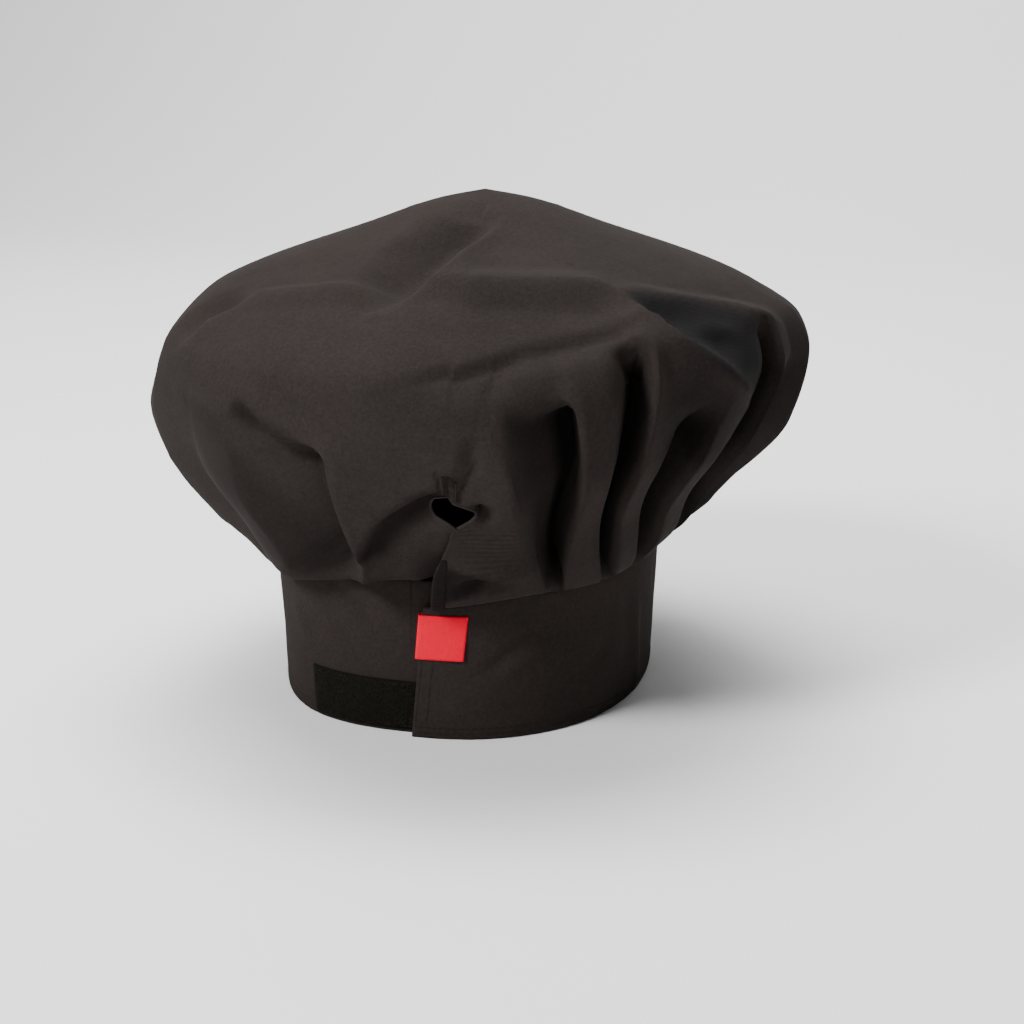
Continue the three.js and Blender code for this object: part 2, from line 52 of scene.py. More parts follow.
# Sizes of the hat, as its solids have them
BAND_LENGTH = 198 * MM
BAND_WIDTH = 175 * MM
BAND_HEIGHT = 68 * MM
BAND_FLARE = 3 * MM
BAND_SQUARE = 2.2  # 2 for an ellipse, more for a squarer outline
BAND_WALL = 2 * MM
RIM_REACH = 155 * MM
SHOULDER_REACH = 126 * MM
CROWN_LEAN = 7.5 * MM
LEAN_AZIMUTH = 107
FOLD_DEPTH = 10 * MM
CREASE_DEPTH = 10 * MM
GAP = 0.3 * MM
LAP_GAP = 1.3 * MM
CLOTH = 0.9 * MM  # thickness of the crown's cloth
OUTER_END = {"foot": 0.8, "top": 4.9}
UNDER_END = 390
UNDER_RISE = 6 * MM
END_DROP = 5 * MM  # how much lower the outer end stands at its top
END_FULL = 34  # azimuth where the band has its full height
UNDER_START = 322
UNDER_FULL = 362
LAYERS = BAND_WALL + 3 * GAP + 2 * 0.8 * MM
PEAK_DRIFT = 1.6

# Places that come from the frame
band_low, band_high = (Vector(corner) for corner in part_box("band"))
CENTRE = Vector((
    (band_low.x + band_high.x) / 2,
    band_high.y - BAND_LENGTH / 2 - BAND_FLARE,
    band_low.z,
))
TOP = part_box("crown")[1][2]
CROWN_HEIGHT = TOP - BAND_HEIGHT
CLIMB = 2.1 * CROWN_HEIGHT

# One row for each side of the crown. The reaches are shares of RIM_REACH and SHOULDER_REACH,
# the heights are shares of CROWN_HEIGHT above the band, sag is how far the cloth climbs (or
# hangs, below 0) before it swings out, and belly is how much of its way out to the rim it has
# made a third of the way up.
SIDE_COLUMNS = ("azimuth", "rim", "rim_up", "shoulder", "shoulder_up", "sag", "belly")
SIDES = [
    (-118, 0.955, 0.45, 1.0, 0.738, 0.025, 0.585),
    (-73, 0.975, 0.42, 1.0, 0.738, 0.015, 0.595),
    (-30, 0.955, 0.46, 0.97, 0.714, -0.005, 0.58),
    (17, 0.968, 0.5, 0.95, 0.726, 0.012, 0.55),
    (45, 0.965, 0.6, 0.96, 0.763, 0.01, 0.5),
    (75, 0.965, 0.6, 1.0, 0.76, 0.04, 0.45),
    (107, 0.995, 0.56, 1.02, 0.745, 0.045, 0.47),
    (152, 1.0, 0.51, 1.0, 0.73, 0.045, 0.53),
    (197, 0.995, 0.48, 0.98, 0.714, 0.04, 0.55),
]

# The lines of the pleats, a row for each ridge (lift above 0) or valley. foot, low, belly and
# rim are its azimuths at FOLD_SHARES, lift is a share of FOLD_DEPTH, and full, fade and top
# are shares of the way to the peak: the line has its full lift from full to fade and is gone
# at top.
# Columns: foot, low, belly, rim, lift, full, fade, top
FOLD_SHARES = (0.03, 0.12, 0.24, 0.4)
FRONT_PLEATS = [
    (13, 12.5, 17, 14, 0.0, 0.1, 0.2, 0.4),
    (26.5, 24.5, 23, 17.5, 0.3, 0.12, 0.24, 0.4),
    (34, 29, 24.5, 19, 0.0, 0.1, 0.36, 0.42),
    (35.5, 31, 28, 23, -0.7, 0.06, 0.37, 0.41),
    (37, 33, 32, 28.5, -2.0, 0.06, 0.37, 0.41),
    (38.5, 35, 34, 30.5, 0.4, 0.14, 0.36, 0.5),
    (49.5, 43, 39, 37.5, 0.15, 0.12, 0.4, 0.5),
    (52, 45, 41.5, 41.5, -2.2, 0.06, 0.44, 0.485),
    (54, 47.5, 43.5, 44.5, 0.4, 0.14, 0.42, 0.55),
    (61, 54, 48, 47, 0.1, 0.1, 0.34, 0.42),
    (67, 58, 53.5, 56, -1.8, 0.06, 0.31, 0.38),
    (70, 60.5, 56, 60, 0.4, 0.14, 0.34, 0.46),
    (83, 70, 61, 64, 0.25, 0.12, 0.42, 0.52),
    (86, 73.5, 65, 71.5, -0.2, 0.12, 0.42, 0.5),
    (88, 75, 66.5, 73.5, -2.0, 0.06, 0.43, 0.49),
    (90, 77, 68.5, 76, 0.35, 0.14, 0.4, 0.52),
    (96, 84, 77, 83, -0.6, 0.08, 0.36, 0.42),
    (100, 92, 89, 90, 0.4, 0.12, 0.4, 0.55),
]
# Valleys with less lift than TUCKED reach in under their right ridge, by TUCK degrees
TUCKED, TUCK = -1.5, 4.5
LEFT_PLEATS = [
    (298, 299, 299, 299, 0.3, 0.12, 0.4, 0.55),
    (319, 313, 311, 316, -0.6, 0.1, 0.32, 0.42),
    (329, 335, 332, 332, 0.35, 0.14, 0.31, 0.42),
    (346, 350, 348.5, 346, -1.2, 0.1, 0.3, 0.345),
    (350, 354.5, 353.5, 352, 0.5, 0.1, 0.3, 0.38),
    (357, 359.5, 360, 360, 0.2, 0.12, 0.25, 0.4),
    (365.5, 365.5, 366, 367, 0.0, 0.1, 0.2, 0.4),
]
PLAIN_PLEATS = {"first": 101, "last": 293, "count": 12, "ridge": 0.45, "valley": -0.8, "top": 0.46}
HEM_SHARE = 0.012

# The edges of the slit above the closure, where the right one laps over the left one
SLIT_COLUMNS = ("share", "right", "left", "under")
SLIT = [
    (0, 7, 390, 1),
    (0.1, 8.3, 382, 1),
    (0.17, 11.5, 375, 0.8),
    (0.207, 12.6, 372.3, 0),
    (0.222, 14.8, 369, 0),
    (0.236, 16.3, 368.6, 0),
    (0.249, 15, 369.4, 0),
    (0.257, 12, 372, 0),
]
LAP_START = 363
LAP_FULL = 369

# Creases that cross the pleats: three places as (azimuth, share of the way up), the lift as a
# share of CREASE_DEPTH, the reach to the left and right of the way along them as shares of
# RIM_REACH, and how crisp they are, from 0 for a round wave to 1 for a sharp fold
# Columns: first, second, third, lift, left, right, crisp
CREASES = [
    ((2, 0.665), (28, 0.625), (46, 0.59), 0.65, 0.16, 0.12, 0.5),
    ((46, 0.59), (60, 0.54), (80, 0.46), 0.45, 0.1, 0.07, 0.8),
    ((45, 0.585), (50, 0.47), (66, 0.37), 0.6, 0.05, 0.12, 1),
    ((51, 0.555), (57, 0.48), (66, 0.43), -0.35, 0.07, 0.1, 0),
    ((12, 0.86), (-1, 0.765), (-7, 0.6), -1.1, 0.08, 0.18, 0.15),
    ((14, 0.85), (3, 0.755), (2, 0.665), 0.25, 0.12, 0.07, 0.4),
    ((-6, 0.64), (-24, 0.615), (-46, 0.56), 0.3, 0.1, 0.08, 0.2),
    ((-46, 0.56), (-53, 0.505), (-53, 0.45), -0.5, 0.05, 0.09, 0.6),
    ((46, 0.505), (24, 0.49), (4, 0.43), -0.35, 0.12, 0.04, 0.7),
    ((20, 0.49), (19, 0.45), (17, 0.4), -0.1, 0.06, 0.02, 0.3),
    ((-27, 0.385), (-19, 0.33), (-9, 0.31), -0.5, 0.035, 0.07, 0.8),
    ((-6, 0.08), (1, 0.21), (12, 0.275), -0.75, 0.03, 0.12, 0.9),
    ((-30, 0.06), (-20, 0.1), (-8, 0.14), -0.35, 0.03, 0.05, 0.5),
    ((17, 0.252), (17.6, 0.24), (18, 0.224), -0.6, 0.025, 0.03, 0),
    ((13, 0.285), (15, 0.31), (16.5, 0.37), -0.25, 0.05, 0.03, 0.4),
    ((14, 0.085), (19, 0.08), (25, 0.07), -0.7, 0.05, 0.06, 0.3),
    ((11, 0.129), (18, 0.116), (25, 0.092), 0.4, 0.06, 0.018, 1),
]
CREASE_END = 0.25

# The flat facet of the crown, painted darker and bluish with coarse ribs as painted shade and
# painted sheen, as places (azimuth, share), and the panel beside the slit that is puckered by
# its seam, with painted shade in its furrows
SHEEN_SHADE_FACET = [(46, 0.59), (61, 0.542), (73, 0.468), (71, 0.41), (68, 0.362), (54, 0.435), (49, 0.48)]
PUCKERS = [(13, 0.22), (24, 0.205), (25, 0.1), (12, 0.11)]
# Facets that lie in shade, darkened in the colour as painted shade: their outlines (azimuth,
# share), how dark they are painted and how softly they end
PAINTED_SHADE_FACETS = [
    ([(11, 0.13), (25, 0.094), (24.5, 0.082), (14, 0.05), (8, 0.045)], 0.55, 0.006),
    ([(19, 0.4), (30, 0.4), (33, 0.28), (33, 0.1), (27, 0.1), (21, 0.28)], 0.38, 0.025),
    ([(-50, 0.38), (-27, 0.375), (-17, 0.22), (-7, 0.05), (-26, 0.05), (-42, 0.2)], 0.32, 0.03),
    ([(50, 0.455), (66, 0.36), (60, 0.27), (50, 0.24), (45, 0.3)], 0.42, 0.03),
    ([(76, 0.44), (104, 0.42), (108, 0.1), (80, 0.04), (66, 0.1), (69, 0.3)], 0.45, 0.04),
]
# Painted shade in lines under sharp folds: three places (azimuth, share), how dark, and the reach to a side
PAINTED_SHADE_LINES = [
    ((74, 0.455), (73.5, 0.42), (71.5, 0.38), 0.9, 5 * MM),
    ((71.5, 0.38), (68, 0.335), (65.5, 0.3), 0.7, 3 * MM),
    ((65.5, 0.3), (66, 0.21), (68, 0.1), 0.4, 2 * MM),
    ((-3.5, 0.135), (2, 0.2), (8, 0.25), 0.62, 10 * MM),
    ((-27, 0.375), (-18, 0.345), (-10, 0.31), 0.45, 7 * MM),
    ((-10, 0.31), (-8.5, 0.26), (-8.5, 0.19), 0.3, 4 * MM),
    ((12, 0.127), (18, 0.111), (24, 0.086), 0.6, 2.5 * MM),
    ((20, 0.088), (23, 0.084), (24.5, 0.083), 0.8, 3.5 * MM),
    ((16.6, 0.25), (17.3, 0.24), (17.5, 0.226), 0.8, 2.2 * MM),
    ((9.8, 0.302), (10, 0.284), (10.1, 0.262), 0.6, 1 * MM),
    ((13.6, 0.3), (13.7, 0.282), (13.5, 0.262), 0.7, 1 * MM),
    ((13.6, 0.28), (14.6, 0.3), (16, 0.325), 0.5, 1.2 * MM),
]
# The middle of the vent, the bar tack above it, and the binding of the slit's free edge with
# its width in degrees and the shares where it starts and ends
VENT = (12.5, 0.24)
TACK = {"azimuth": 11.8, "share": 0.279, "width": 5.5 * MM, "height": 7 * MM, "threads": 15}
STRIP = {"width": 3.2, "low": 0.004, "high": 0.145}

# Soft folds of the band: two places (azimuth, share of its height), the lift as a share of
# BAND_FOLD and the reach to either side
BAND_DEGREE = 1.62 * MM  # the length of a degree along the band
BAND_FOLD = 1.5 * MM
# Columns: first, second, lift, reach
BAND_FOLDS = [
    ((339, 0.97), (351, 0.74), -0.9, 3.5 * MM),
    ((337, 0.88), (348, 0.68), 0.6, 4 * MM),
    ((346, 1.03), (352.5, 0.88), -0.7, 3 * MM),
    ((21, 0.54), (37, 0.77), -1.0, 4 * MM),
    ((24, 0.47), (38, 0.66), 0.7, 4 * MM),
    ((15, 0.46), (31, 0.57), -0.6, 3.5 * MM),
    ((46, 0.3), (60, 0.55), -0.5, 5 * MM),
    ((74, 0.75), (80, 0.0), 0.7, 6 * MM),
    ((66, 0.9), (70, 0.2), -0.5, 6 * MM),
    ((94, 0.85), (108, 0.4), -0.5, 6 * MM),
    ((150, 0.8), (163, 0.35), -0.6, 6 * MM),
    ((205, 0.3), (218, 0.8), -0.6, 6 * MM),
    ((262, 0.75), (270, 0.2), -0.5, 6 * MM),
    ((300, 0.9), (306, 0.3), -0.6, 6 * MM),
    ((322, 0.8), (330, 0.5), 0.5, 5 * MM),
]

# Rows of topstitching on the band: where each begins and ends as (azimuth, share of its height)
STITCH = {"length": 2.1 * MM, "step": 2.9 * MM, "radius": 0.17 * MM, "rise": 0.1 * MM}
STITCH_ROWS = [
    ((2.2, 0.045), (329, 0.045)),
    ((2.2, 0.085), (329, 0.085)),
    ((2.1, 0.12), (5.6, 0.88)),
    ((5.0, 0.12), (8.4, 0.88)),
    ((360.6, 0.6), (361.4, 1.03)),
]

# The two tapes and the label, as the solids have them
TAPE_HEIGHT = 23.5 * MM
TAPE_BASE = 0.45 * MM
TAPE_DEGREE = 1.6 * MM  # the length of a degree along the loop tape
LOOP_TAPE = {"first": 330, "last": 384, "low": 2 * MM}
PILE = {"count": 5200, "last": 364.5, "height": 0.75 * MM, "span": 0.8 * MM, "radius": 0.055 * MM}
LABEL_SIZE = 21 * MM
LABEL_LOW = BAND_HEIGHT - 29.5 * MM
LABEL_RETURN = 7 * MM
LABEL_BULGE = 1.2 * MM
LABEL_CLOTH = 0.35 * MM
LABEL_DEGREE = 1.78 * MM  # the length of a degree along the band at the label

# How the crown's cloth settles: frames, how much it grows, how firmly it is held to its form (0
# to 1) in general and in front, how often its ways are evened out, the share from which it is
# held fast, and how far round the vent it is held fast
SETTLE = {
    "frames": 10,
    "grow": 0.028,
    "held": 0.5,
    "front": 0.85,
    "evened": 3,
    "peak": 0.93,
    "vent": 16 * MM,
}

# How the simulated cloth behaves, under the simulation's own names
TWILL_CLOTH = {
    "quality": 5,
    "mass": 0.15,
    "tension_stiffness": 20,
    "compression_stiffness": 20,
    "shear_stiffness": 5,
    "bending_stiffness": 0.4,
    "pin_stiffness": 1.0,
}

# The fine mesh of the crown
COLUMN = 1.15  # degrees from one column to the next, about
LEAST = 3  # columns at least from one line of the pleats to the next
ROWS = 118
ROUNDING = 0.2  # 0 keeps each pleat a plain fold, 1 makes it a round wave


def heading(azimuth):
    angle = np.radians(azimuth)
    return np.stack([np.sin(angle), -np.cos(angle)], axis=-1)


def smoothstep(x, low, high):
    t = np.clip((x - low) / (high - low), 0, 1)
    return t * t * (3 - 2 * t)


def through(xs, ys, x):
    """Monotone cubic curves through the knots (xs, ys), one curve for each number in x."""
    x = np.atleast_1d(np.asarray(x, float))
    xs = np.asarray(xs, float).reshape(len(xs), -1) + np.zeros((1, x.size))
    ys = np.asarray(ys, float).reshape(len(ys), -1) + np.zeros((1, x.size))
    x = np.clip(x, xs[0], xs[-1])
    step = np.diff(xs, axis=0)
    slope = np.diff(ys, axis=0) / step
    before, after = slope[:-1], slope[1:]
    early = 2 * step[1:] + step[:-1]
    late = step[1:] + 2 * step[:-1]
    same = before * after > 0
    safe_before = np.where(same, before, 1)
    safe_after = np.where(same, after, 1)
    inner = np.where(same, (early + late) / (early / safe_before + late / safe_after), 0)
    tangent = np.concatenate([slope[:1], inner, slope[-1:]])
    piece = (x >= xs[1:-1]).sum(axis=0)[None]

    def pick(values, at):
        return np.take_along_axis(values, at, axis=0)[0]

    width = pick(step, piece)
    t = (x - pick(xs, piece)) / width
    a = pick(tangent, piece) * width
    b = pick(tangent, piece + 1) * width
    start = pick(ys, piece)
    rise = pick(ys, piece + 1) - start
    return start + t * (a + t * (3 * rise - 2 * a - b + t * (a + b - 2 * rise)))


def side(column, azimuth):
    k = SIDE_COLUMNS.index(column)
    first = SIDES[0][0]
    turned = first + np.mod(azimuth - first, 360)
    around = [row[0] + turn for turn in (-360, 0, 360) for row in SIDES]
    values = [row[k] for _ in range(3) for row in SIDES]
    return through(around, values, turned)


def step_in(azimuth):
    """How far the under end has stepped in behind the outer end, from 0 to 1."""
    return smoothstep(azimuth, UNDER_START, UNDER_FULL)


def on_band(azimuth, height, offset=0.0):
    azimuth, height, offset = np.broadcast_arrays(
        np.asarray(azimuth, float), np.asarray(height, float), np.asarray(offset, float)
    )
    lean = BAND_FLARE * height / BAND_HEIGHT
    way = heading(azimuth)
    across = np.abs(way[..., 0]) / (BAND_WIDTH / 2 + lean)
    along = np.abs(way[..., 1]) / (BAND_LENGTH / 2 + lean)
    radius = (across**BAND_SQUARE + along**BAND_SQUARE) ** (-1 / BAND_SQUARE)
    out = way * (radius + offset - LAYERS * step_in(azimuth))[..., None]
    return np.stack([out[..., 0] + CENTRE.x, out[..., 1] + CENTRE.y, height + CENTRE.z], axis=-1)


def band_top(azimuth):
    drop = END_DROP * (1 - smoothstep(azimuth, OUTER_END["top"], END_FULL))
    return BAND_HEIGHT + UNDER_RISE * step_in(azimuth) - drop


def crown_form(azimuth, share):
    """The smooth form of the crown before it folds, for arrays of equal length."""
    seam = on_band(azimuth, BAND_HEIGHT)
    seam_reach = np.hypot(seam[:, 0] - CENTRE.x, seam[:, 1] - CENTRE.y)
    full = seam_reach + LAYERS * step_in(azimuth)
    base = band_top(azimuth) + GAP
    rim_up = BAND_HEIGHT + CROWN_HEIGHT * side("rim_up", azimuth)
    shoulder_up = BAND_HEIGHT + CROWN_HEIGHT * side("shoulder_up", azimuth)
    rim = RIM_REACH * side("rim", azimuth)
    shoulder = SHOULDER_REACH * side("shoulder", azimuth)
    sag = CROWN_HEIGHT * side("sag", azimuth)
    belly = side("belly", azimuth)
    wall, turn, lid = rim - full, rim - shoulder, TOP - shoulder_up
    rise = rim_up - BAND_HEIGHT
    zero = np.zeros_like(azimuth)
    knots = [
        (seam_reach - BAND_WALL, base, 0),
        (seam_reach + 0.8 * MM, base, 0),
        (seam_reach + 0.12 * wall, base + sag, 0.1),
        (full + belly * wall, BAND_HEIGHT + 0.36 * rise, 0.5),
        (full + 0.9 * wall, BAND_HEIGHT + 0.7 * rise, 0.9),
        (rim, rim_up, 1),
        (rim - 0.22 * turn, rim_up + 0.55 * (shoulder_up - rim_up), 1.05),
        (shoulder, shoulder_up, 1.2),
        (0.9 * shoulder, shoulder_up + 0.15 * lid, 1.25),
        (0.45 * shoulder, shoulder_up + 0.62 * lid, 1.5),
        (0.17 * shoulder, shoulder_up + 0.9 * lid, PEAK_DRIFT),
        (zero, zero + TOP, PEAK_DRIFT),
    ]
    reach = np.stack([knot[0] for knot in knots])
    height = np.stack([knot[1] for knot in knots])
    moved = np.stack([zero + knot[2] for knot in knots])
    chords = np.hypot(np.diff(reach, axis=0), np.diff(height, axis=0))
    lengths = np.concatenate([zero[None], np.cumsum(chords, axis=0)])
    along = share * lengths[-1]
    out = heading(azimuth) * through(lengths, reach, along)[:, None]
    drift = CROWN_LEAN / PEAK_DRIFT * through(lengths, moved, along)
    out = out + heading(LEAN_AZIMUTH)[None] * drift[:, None]
    return np.column_stack([out[:, 0] + CENTRE.x, out[:, 1] + CENTRE.y, through(lengths, height, along)])


def crown_out(azimuth, share):
    """The direction out of the cloth of the smooth form."""
    step = 0.004
    low = np.maximum(0, share - step)
    high = np.maximum(np.minimum(0.98, share + step), low + step)
    at = np.minimum(share, 0.98)
    up = crown_form(azimuth, high) - crown_form(azimuth, low)
    around = crown_form(azimuth + 1, at) - crown_form(azimuth - 1, at)
    out = np.cross(around, up)
    return out / np.linalg.norm(out, axis=1, keepdims=True)


def pleat_lines():
    p = PLAIN_PLEATS
    plain = []
    for i in range(2 * p["count"]):
        middle = p["first"] + (p["last"] - p["first"]) * (i + 0.5) / (2 * p["count"])
        sway = 2.2 * math.sin(2.3 * i + 0.6)
        vary = 1 + 0.3 * math.sin(1.7 * i)
        end = p["top"] + 0.05 * math.sin(2.9 * i)
        lift = vary * (p["ridge"] if i % 2 else p["valley"])
        azimuths = (middle - 0.5 * sway, middle, middle + 0.5 * sway, middle + sway)
        plain.append((*azimuths, lift, 0.1, end - 0.12, end))
    return FRONT_PLEATS + plain + LEFT_PLEATS


def slit(column, share):
    k = SLIT_COLUMNS.index(column)
    return float(through([row[0] for row in SLIT], [row[k] for row in SLIT], share)[0])


def columns_between(lines):
    """How many columns each stretch between two lines has."""
    middles = [slit("right", FOLD_SHARES[1]), *(line[2] for line in lines), slit("left", FOLD_SHARES[1])]
    return [max(LEAST, round((b - a) / COLUMN)) for a, b in zip(middles, middles[1:])]


def row_places(share, lines, columns):
    """The azimuths and lifts of one row of the crown's mesh."""
    stops = [(slit("right", share), 0.0)]
    for foot, low, belly, rim, lift, full, fade, top in lines:
        azimuth = float(through(FOLD_SHARES, (foot, low, belly, rim), share)[0])
        rise = smoothstep(share, HEM_SHARE, full)
        fall = 1 - smoothstep(share, fade, top)
        if lift < TUCKED:
            azimuth += TUCK * float(rise * fall)
        stops.append((azimuth, FOLD_DEPTH * lift * float(rise * fall)))
    stops.append((slit("left", share), 0.0))
    azimuths, lifts = [], []
    for (azimuth, lift), (next_azimuth, next_lift), count in zip(stops, stops[1:], columns):
        t = np.arange(count) / count
        soft = t + ROUNDING * (smoothstep(t, 0, 1) - t)
        azimuths.extend(azimuth + t * (next_azimuth - azimuth))
        lifts.extend(lift + soft * (next_lift - lift))
    return np.array([*azimuths, stops[-1][0]]), np.array([*lifts, 0.0])


def crease_lift(azimuth, share, reach, creases):
    total = np.zeros_like(azimuth)
    for first, second, third, lift, left, right, crisp in creases:
        middle = second[0]
        turn = np.mod(azimuth - middle + 180, 360) - 180
        places = [
            np.column_stack([np.radians(around - middle - turn) * reach, (up - share) * CLIMB])
            for around, up in (first, second, third)
        ]
        nearest = np.full_like(azimuth, np.inf)
        where = np.zeros_like(azimuth)
        width = np.ones_like(azimuth)
        for i in range(2):
            a, line = places[i], places[i + 1] - places[i]
            t = np.clip(-(a * line).sum(axis=1) / np.maximum((line * line).sum(axis=1), 1e-12), 0, 1)
            distance = np.linalg.norm(a + line * t[:, None], axis=1)
            closer = distance < nearest
            nearest = np.where(closer, distance, nearest)
            where = np.where(closer, (i + t) / 2, where)
            beside = line[:, 1] * a[:, 0] - line[:, 0] * a[:, 1]
            width = np.where(closer, np.where(beside > 0, left, right), width)
        near = np.maximum(0, 1 - nearest / (width * RIM_REACH))
        taper = np.minimum(1, 4 * where * (1 - where) + CREASE_END)
        total += CREASE_DEPTH * lift * taper * (crisp * near + (1 - crisp) * smoothstep(near, 0, 1))
    return total


def crown_shares():
    """Rows from the seam to the peak, closer together below the shoulder."""
    even = np.linspace(0, 1, ROWS)
    return np.concatenate([[0, HEM_SHARE], HEM_SHARE + (1 - HEM_SHARE) * (0.75 * even + 0.25 * even**2)[1:]])


def mesh_object(name, points, faces, material, smooth=True):
    mesh = bpy.data.meshes.new(name)
    mesh.from_pydata([tuple(p) for p in points], [], faces)
    mesh.materials.append(material)
    if smooth:
        mesh.shade_smooth()
    mesh.update()
    piece = bpy.data.objects.new(name, mesh)
    bpy.context.scene.collection.objects.link(piece)
    return piece


def crown_points():
    """The shares of the rows, and each point's azimuth, place and lift by the pleats."""
    lines = pleat_lines()
    columns = columns_between(lines)
    shares = crown_shares()
    grid, around, lifts = [], [], []
    for share in shares:
        azimuth, lift = row_places(share, lines, columns)
        at = np.full_like(azimuth, share)
        place = crown_form(azimuth, at)
        out = crown_out(azimuth, at)
        reach = np.hypot(place[:, 0] - CENTRE.x, place[:, 1] - CENTRE.y)
        folded = 1.0 if HEM_SHARE < share < 1 else 0.0
        lap = slit("under", share) * (1.5 * MM + LAP_GAP) * smoothstep(azimuth, LAP_START, LAP_FULL)
        raised = lift + crease_lift(azimuth, at, reach, CREASES)
        grid.append(place + out * (folded * raised - lap)[:, None])
        around.append(azimuth)
        lifts.append(lift)
    return shares, np.stack(around), np.stack(grid), np.stack(lifts)


def grid_faces(rows, columns, joined_from):
    """Quads of a grid whose first and last columns are one from the row joined_from up, and
    whose last row is one point. Gives the faces and the index of each place's vertex."""
    index = np.arange(rows * columns).reshape(rows, columns)
    index[joined_from:, -1] = index[joined_from:, 0]
    index[-1, :] = index[-1, 0]
    faces = []
    for j in range(rows - 1):
        for i in range(columns - 1):
            corners = [index[j, i], index[j, i + 1], index[j + 1, i + 1], index[j + 1, i]]
            face = list(dict.fromkeys(int(c) for c in corners))
            if len(face) > 2:
                faces.append(face)
    return faces


def drop_loose(piece):
    import bmesh
    made = bmesh.new()
    made.from_mesh(piece.data)
    bmesh.ops.delete(made, geom=[v for v in made.verts if not v.link_faces], context="VERTS")
    made.to_mesh(piece.data)
    made.free()


def inside(azimuth, share, corners, soft=0.012):
    """How far places lie inside a convex outline of (azimuth, share), from 0 to 1."""
    turn = np.mod(azimuth + 180, 360) - 180
    middle = np.mean(corners, axis=0)
    depth = np.full_like(turn, np.inf, dtype=float)
    scale = np.array([0.0045, 1.0])
    for first, second in zip(corners, [*corners[1:], corners[0]]):
        a, b = np.array(first) * scale, np.array(second) * scale
        normal = np.array([a[1] - b[1], b[0] - a[0]])
        normal /= np.linalg.norm(normal)
        if (middle * scale - a) @ normal < 0:
            normal = -normal
        depth = np.minimum(depth, (turn * scale[0] - a[0]) * normal[0] + (share - a[1]) * normal[1])
    return smoothstep(depth, -soft / 4, soft)


def give_numbers(piece, name, values):
    attribute = piece.data.attributes.new(name, "FLOAT", "POINT")
    attribute.data.foreach_set("value", np.asarray(values, np.float32))


def give_flat(piece, flat):
    """Writes each vertex's place in the flat cut, in metres, into the map that the weave follows."""
    layer = piece.data.uv_layers.new(name="flat")
    corner = np.empty(len(piece.data.loops), np.int32)
    piece.data.loops.foreach_get("vertex_index", corner)
    layer.data.foreach_set("uv", np.asarray(flat, np.float32)[corner].reshape(-1))


class Look:
    """A material under construction."""

    def __init__(self, name):
        self.material = bpy.data.materials.new(name)
        self.material.use_nodes = True
        self.tree = self.material.node_tree
        self.shader = self.tree.nodes["Principled BSDF"]

    def node(self, kind, **settings):
        made = self.tree.nodes.new(kind)
        for key, value in settings.items():
            setattr(made, key, value)
        return made

    def join(self, start, end):
        """Links an output to a socket, or sets the socket to a value."""
        if hasattr(start, "is_output"):
            self.tree.links.new(start, end)
        else:
            end.default_value = start

    def math(self, operation, first, second=0.0, third=0.0):
        made = self.node("ShaderNodeMath", operation=operation)
        for socket, value in zip(made.inputs, (first, second, third)):
            self.join(value, socket)
        return made.outputs[0]

    def ribs(self, vector, way, pitch):
        """A wave from -1 to 1 across the direction way, once each pitch."""
        dot = self.node("ShaderNodeVectorMath", operation="DOT_PRODUCT")
        self.join(vector, dot.inputs[0])
        dot.inputs[1].default_value = way
        return self.math("SINE", self.math("MULTIPLY", dot.outputs["Value"], 2 * math.pi / pitch))

    def noise(self, vector, scale, detail=2.0, rough=0.5):
        made = self.node("ShaderNodeTexNoise")
        made.inputs["Scale"].default_value = scale
        made.inputs["Detail"].default_value = detail
        made.inputs["Roughness"].default_value = rough
        self.join(vector, made.inputs["Vector"])
        return made.outputs["Fac"]

    def mix(self, share, first, second):
        made = self.node("ShaderNodeMix", data_type="RGBA")
        self.join(share, made.inputs[0])
        self.join(first, made.inputs[6])
        self.join(second, made.inputs[7])
        return made.outputs[2]

    def number(self, name):
        return self.node("ShaderNodeAttribute", attribute_name=name).outputs["Fac"]

    def bump(self, height, distance, strength=1.0, below=None):
        made = self.node("ShaderNodeBump")
        made.inputs["Strength"].default_value = strength
        made.inputs["Distance"].default_value = distance
        self.join(height, made.inputs["Height"])
        if below is not None:
            self.join(below, made.inputs["Normal"])
        return made.outputs["Normal"]

    def flat(self):
        return self.node("ShaderNodeUVMap", uv_map="flat").outputs["UV"]

    def place(self):
        return self.node("ShaderNodeNewGeometry").outputs["Position"]

    def finish(self, colours, normal=None):
        """Gives the shader its colours and its relief."""
        if isinstance(colours, tuple):
            self.shader.inputs["Base Color"].default_value = (*colours, 1)
        else:
            self.join(colours, self.shader.inputs["Base Color"])
        if normal is not None:
            self.join(normal, self.shader.inputs["Normal"])
        return self.material

    def cloth(self, rough=1.0, sheen=0.0):
        self.shader.inputs["Roughness"].default_value = rough
        self.shader.inputs["Sheen Weight"].default_value = sheen
        self.shader.inputs["Sheen Roughness"].default_value = 0.45
        self.shader.inputs["Specular IOR Level"].default_value = 0.08


def shade(colour, by):
    return (*(min(1.0, c * by) for c in colour), 1.0)


